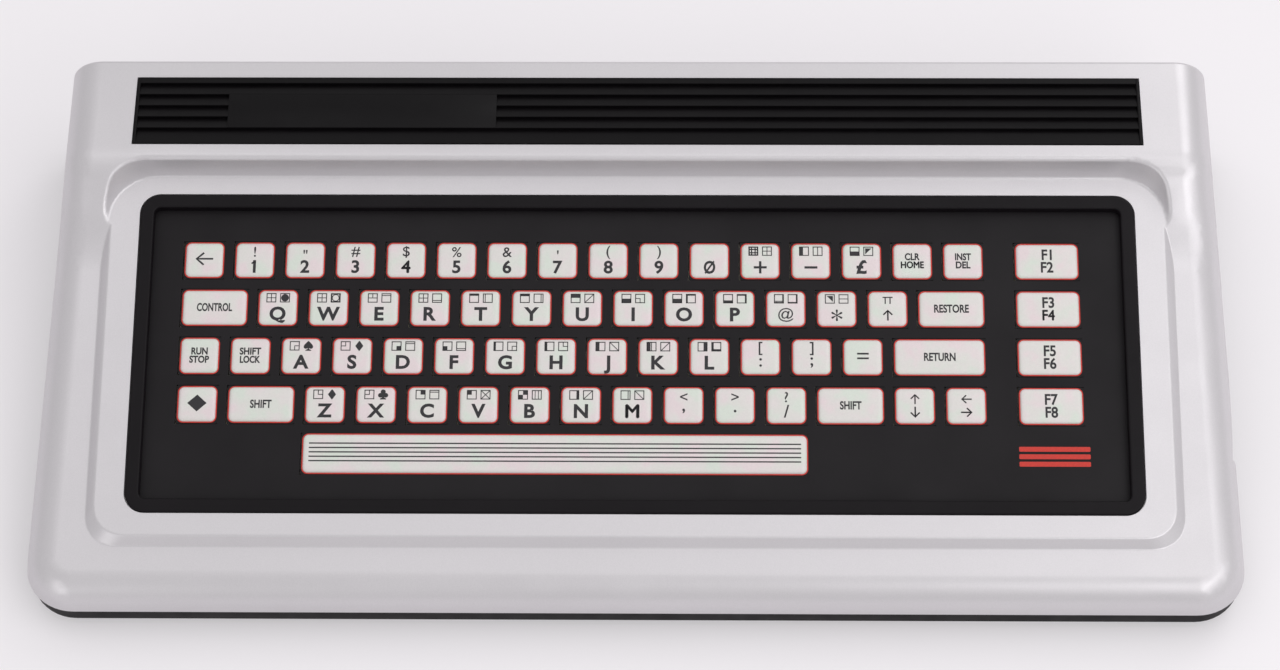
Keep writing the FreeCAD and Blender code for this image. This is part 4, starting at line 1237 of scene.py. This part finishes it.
class COMPUTER_OT_inside(bpy.types.Operator):
    """Finishes of the pieces inside the case"""
    bl_idname = "computer.inside"
    bl_label = "Inside"

    def execute(self, context):
        sockets = context.scene.computer_sockets
        film = clear_sheet([linear(level) for level in (190, 184, 160)])
        finishes = {
            "spacer_sheet": film,
            "circuit_sheet": film,
            "backing_plate": metal("plate_steel", sockets.shell, 0.45, (0.2, 2, 1)),
            "main_board": circuit_board(sockets.board),
            "logic_chips": moulded("chip_black", sockets.dark, 0.5, 0.0005, 0.00002),
            "heat_sink": metal("drawn_aluminium", scaled(sockets.shell, 1.1), 0.4,
                               (0.1, 0.1, 3)),
            "ribbon_connector": moulded("ribbon_socket", sockets.pale, 0.5, 0.0007, 0.00002),
        }
        for node, finish in finishes.items():
            dress(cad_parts[node], finish)
        return {"FINISHED"}


# Studio. A light has its name, its turn round from the front to the right and its height, both
# in degrees, and its strength. The floor's size and the camera's reach are in metres.

LIGHTS = [
    ("front_right_light", 36, 42, 0.35),
    ("rear_right_light", 144, 42, 0.3),
    ("right_light", 72, 42, 0.22),
    ("front_left_light", 324, 20, 0.17),
    ("high_right_light", 90, 66, 0.16),
    ("high_rear_left_light", 225, 66, 0.09),
    ("high_rear_right_light", 135, 66, 0.08),
    ("top_light", 0, 89, 0.04),
]
FLOOR_SIZE, CAMERA_REACH, SENSOR_WIDTH = 30, 40, 36


class COMPUTER_OT_studio(bpy.types.Operator):
    """Floor, lights and camera"""
    bl_idname = "computer.studio"
    bl_label = "Studio"

    def execute(self, context):
        scene = context.scene
        studio = scene.computer_studio
        clear()
        bpy.ops.mesh.primitive_plane_add(size=FLOOR_SIZE, location=(0, 0, 0))
        floor = context.object
        floor.name = "floor"
        dress(floor, self.floor_finish(studio))
        scene.world = self.surroundings(studio)
        for name, around, above, strength in LIGHTS:
            self.light(studio, name, math.radians(around), math.radians(above), strength)
        bpy.ops.object.camera_add(location=studio.place, rotation=studio.turn)
        camera = context.object
        camera.data.lens = studio.lens
        camera.data.sensor_width = SENSOR_WIDTH
        camera.data.clip_end = CAMERA_REACH
        scene.camera = camera
        scene.view_settings.view_transform = "Standard"
        return {"FINISHED"}

    def light(self, studio, name, around, above, strength):
        """A soft light that looks at the computer."""
        level = math.cos(above)
        way = Vector((math.sin(around) * level, -math.cos(around) * level, math.sin(above)))
        spot = way * studio.light_away
        bpy.ops.object.light_add(type="AREA", location=spot)
        lamp = bpy.context.object
        lamp.name = name
        lamp.data.energy = studio.light_power * strength
        lamp.data.size = studio.light_size
        lamp.rotation_euler = (-spot).to_track_quat("-Z", "Y").to_euler()

    def floor_finish(self, studio):
        """Pale paper that shows as pale as it is, and still takes the computer's shadow."""
        finish = Finish("floor_paper")
        clouds = finish.shades(finish.noise(size=0.5, detail=2), studio.floor, 0.99, 1)
        finish.wire(clouds, "Base Color")
        finish.set(Roughness=0.75, Emission_Color=(1, 0.98, 1, 1))
        finish.wire(finish.seen(studio.glow), "Emission Strength")
        finish.relief(finish.noise(size=0.003, detail=2), depth=0.00005, strength=0.1)
        return finish.material

    def surroundings(self, studio):
        """Even pale light from all round."""
        world = bpy.data.worlds.new("studio")
        world.use_nodes = True
        light = world.node_tree.nodes["Background"].inputs
        light["Color"].default_value = (1, 0.99, 1, 1)
        light["Strength"].default_value = studio.ambient
        return world


# Panel and main

GROUPS = {
    "computer_case": CaseSettings,
    "computer_keyboard": KeyboardSettings,
    "computer_sockets": SocketSettings,
    "computer_studio": StudioSettings,
}
OPERATORS = [
    COMPUTER_OT_upper_case,
    COMPUTER_OT_lower_case,
    COMPUTER_OT_underside,
    COMPUTER_OT_rear_strip,
    COMPUTER_OT_keyboard_frame,
    COMPUTER_OT_key_sheet,
    COMPUTER_OT_key_pads,
    COMPUTER_OT_rear_sockets,
    COMPUTER_OT_side_sockets,
    COMPUTER_OT_inside,
    COMPUTER_OT_studio,
]


class COMPUTER_PT_pieces(bpy.types.Panel):
    """Pieces of the computer, and their sizes and colours"""
    bl_idname = "COMPUTER_PT_pieces"
    bl_label = "Home computer"
    bl_space_type = "VIEW_3D"
    bl_region_type = "UI"
    bl_category = "Computer"

    def draw(self, context):
        for operator in OPERATORS:
            self.layout.operator(operator.bl_idname)
        for name, group in GROUPS.items():
            box = self.layout.box()
            for setting in group.__annotations__:
                box.prop(getattr(context.scene, name), setting)


def register():
    for kind in [*GROUPS.values(), *OPERATORS, COMPUTER_PT_pieces]:
        bpy.utils.register_class(kind)
    for name, group in GROUPS.items():
        setattr(bpy.types.Scene, name, bpy.props.PointerProperty(type=group))


def unregister():
    for name in GROUPS:
        delattr(bpy.types.Scene, name)
    for kind in reversed([*GROUPS.values(), *OPERATORS, COMPUTER_PT_pieces]):
        bpy.utils.unregister_class(kind)


def main():
    register()
    for operator in OPERATORS:
        group, name = operator.bl_idname.split(".")
        getattr(getattr(bpy.ops, group), name)()
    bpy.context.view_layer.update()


if __name__ == "__main__":
    main()
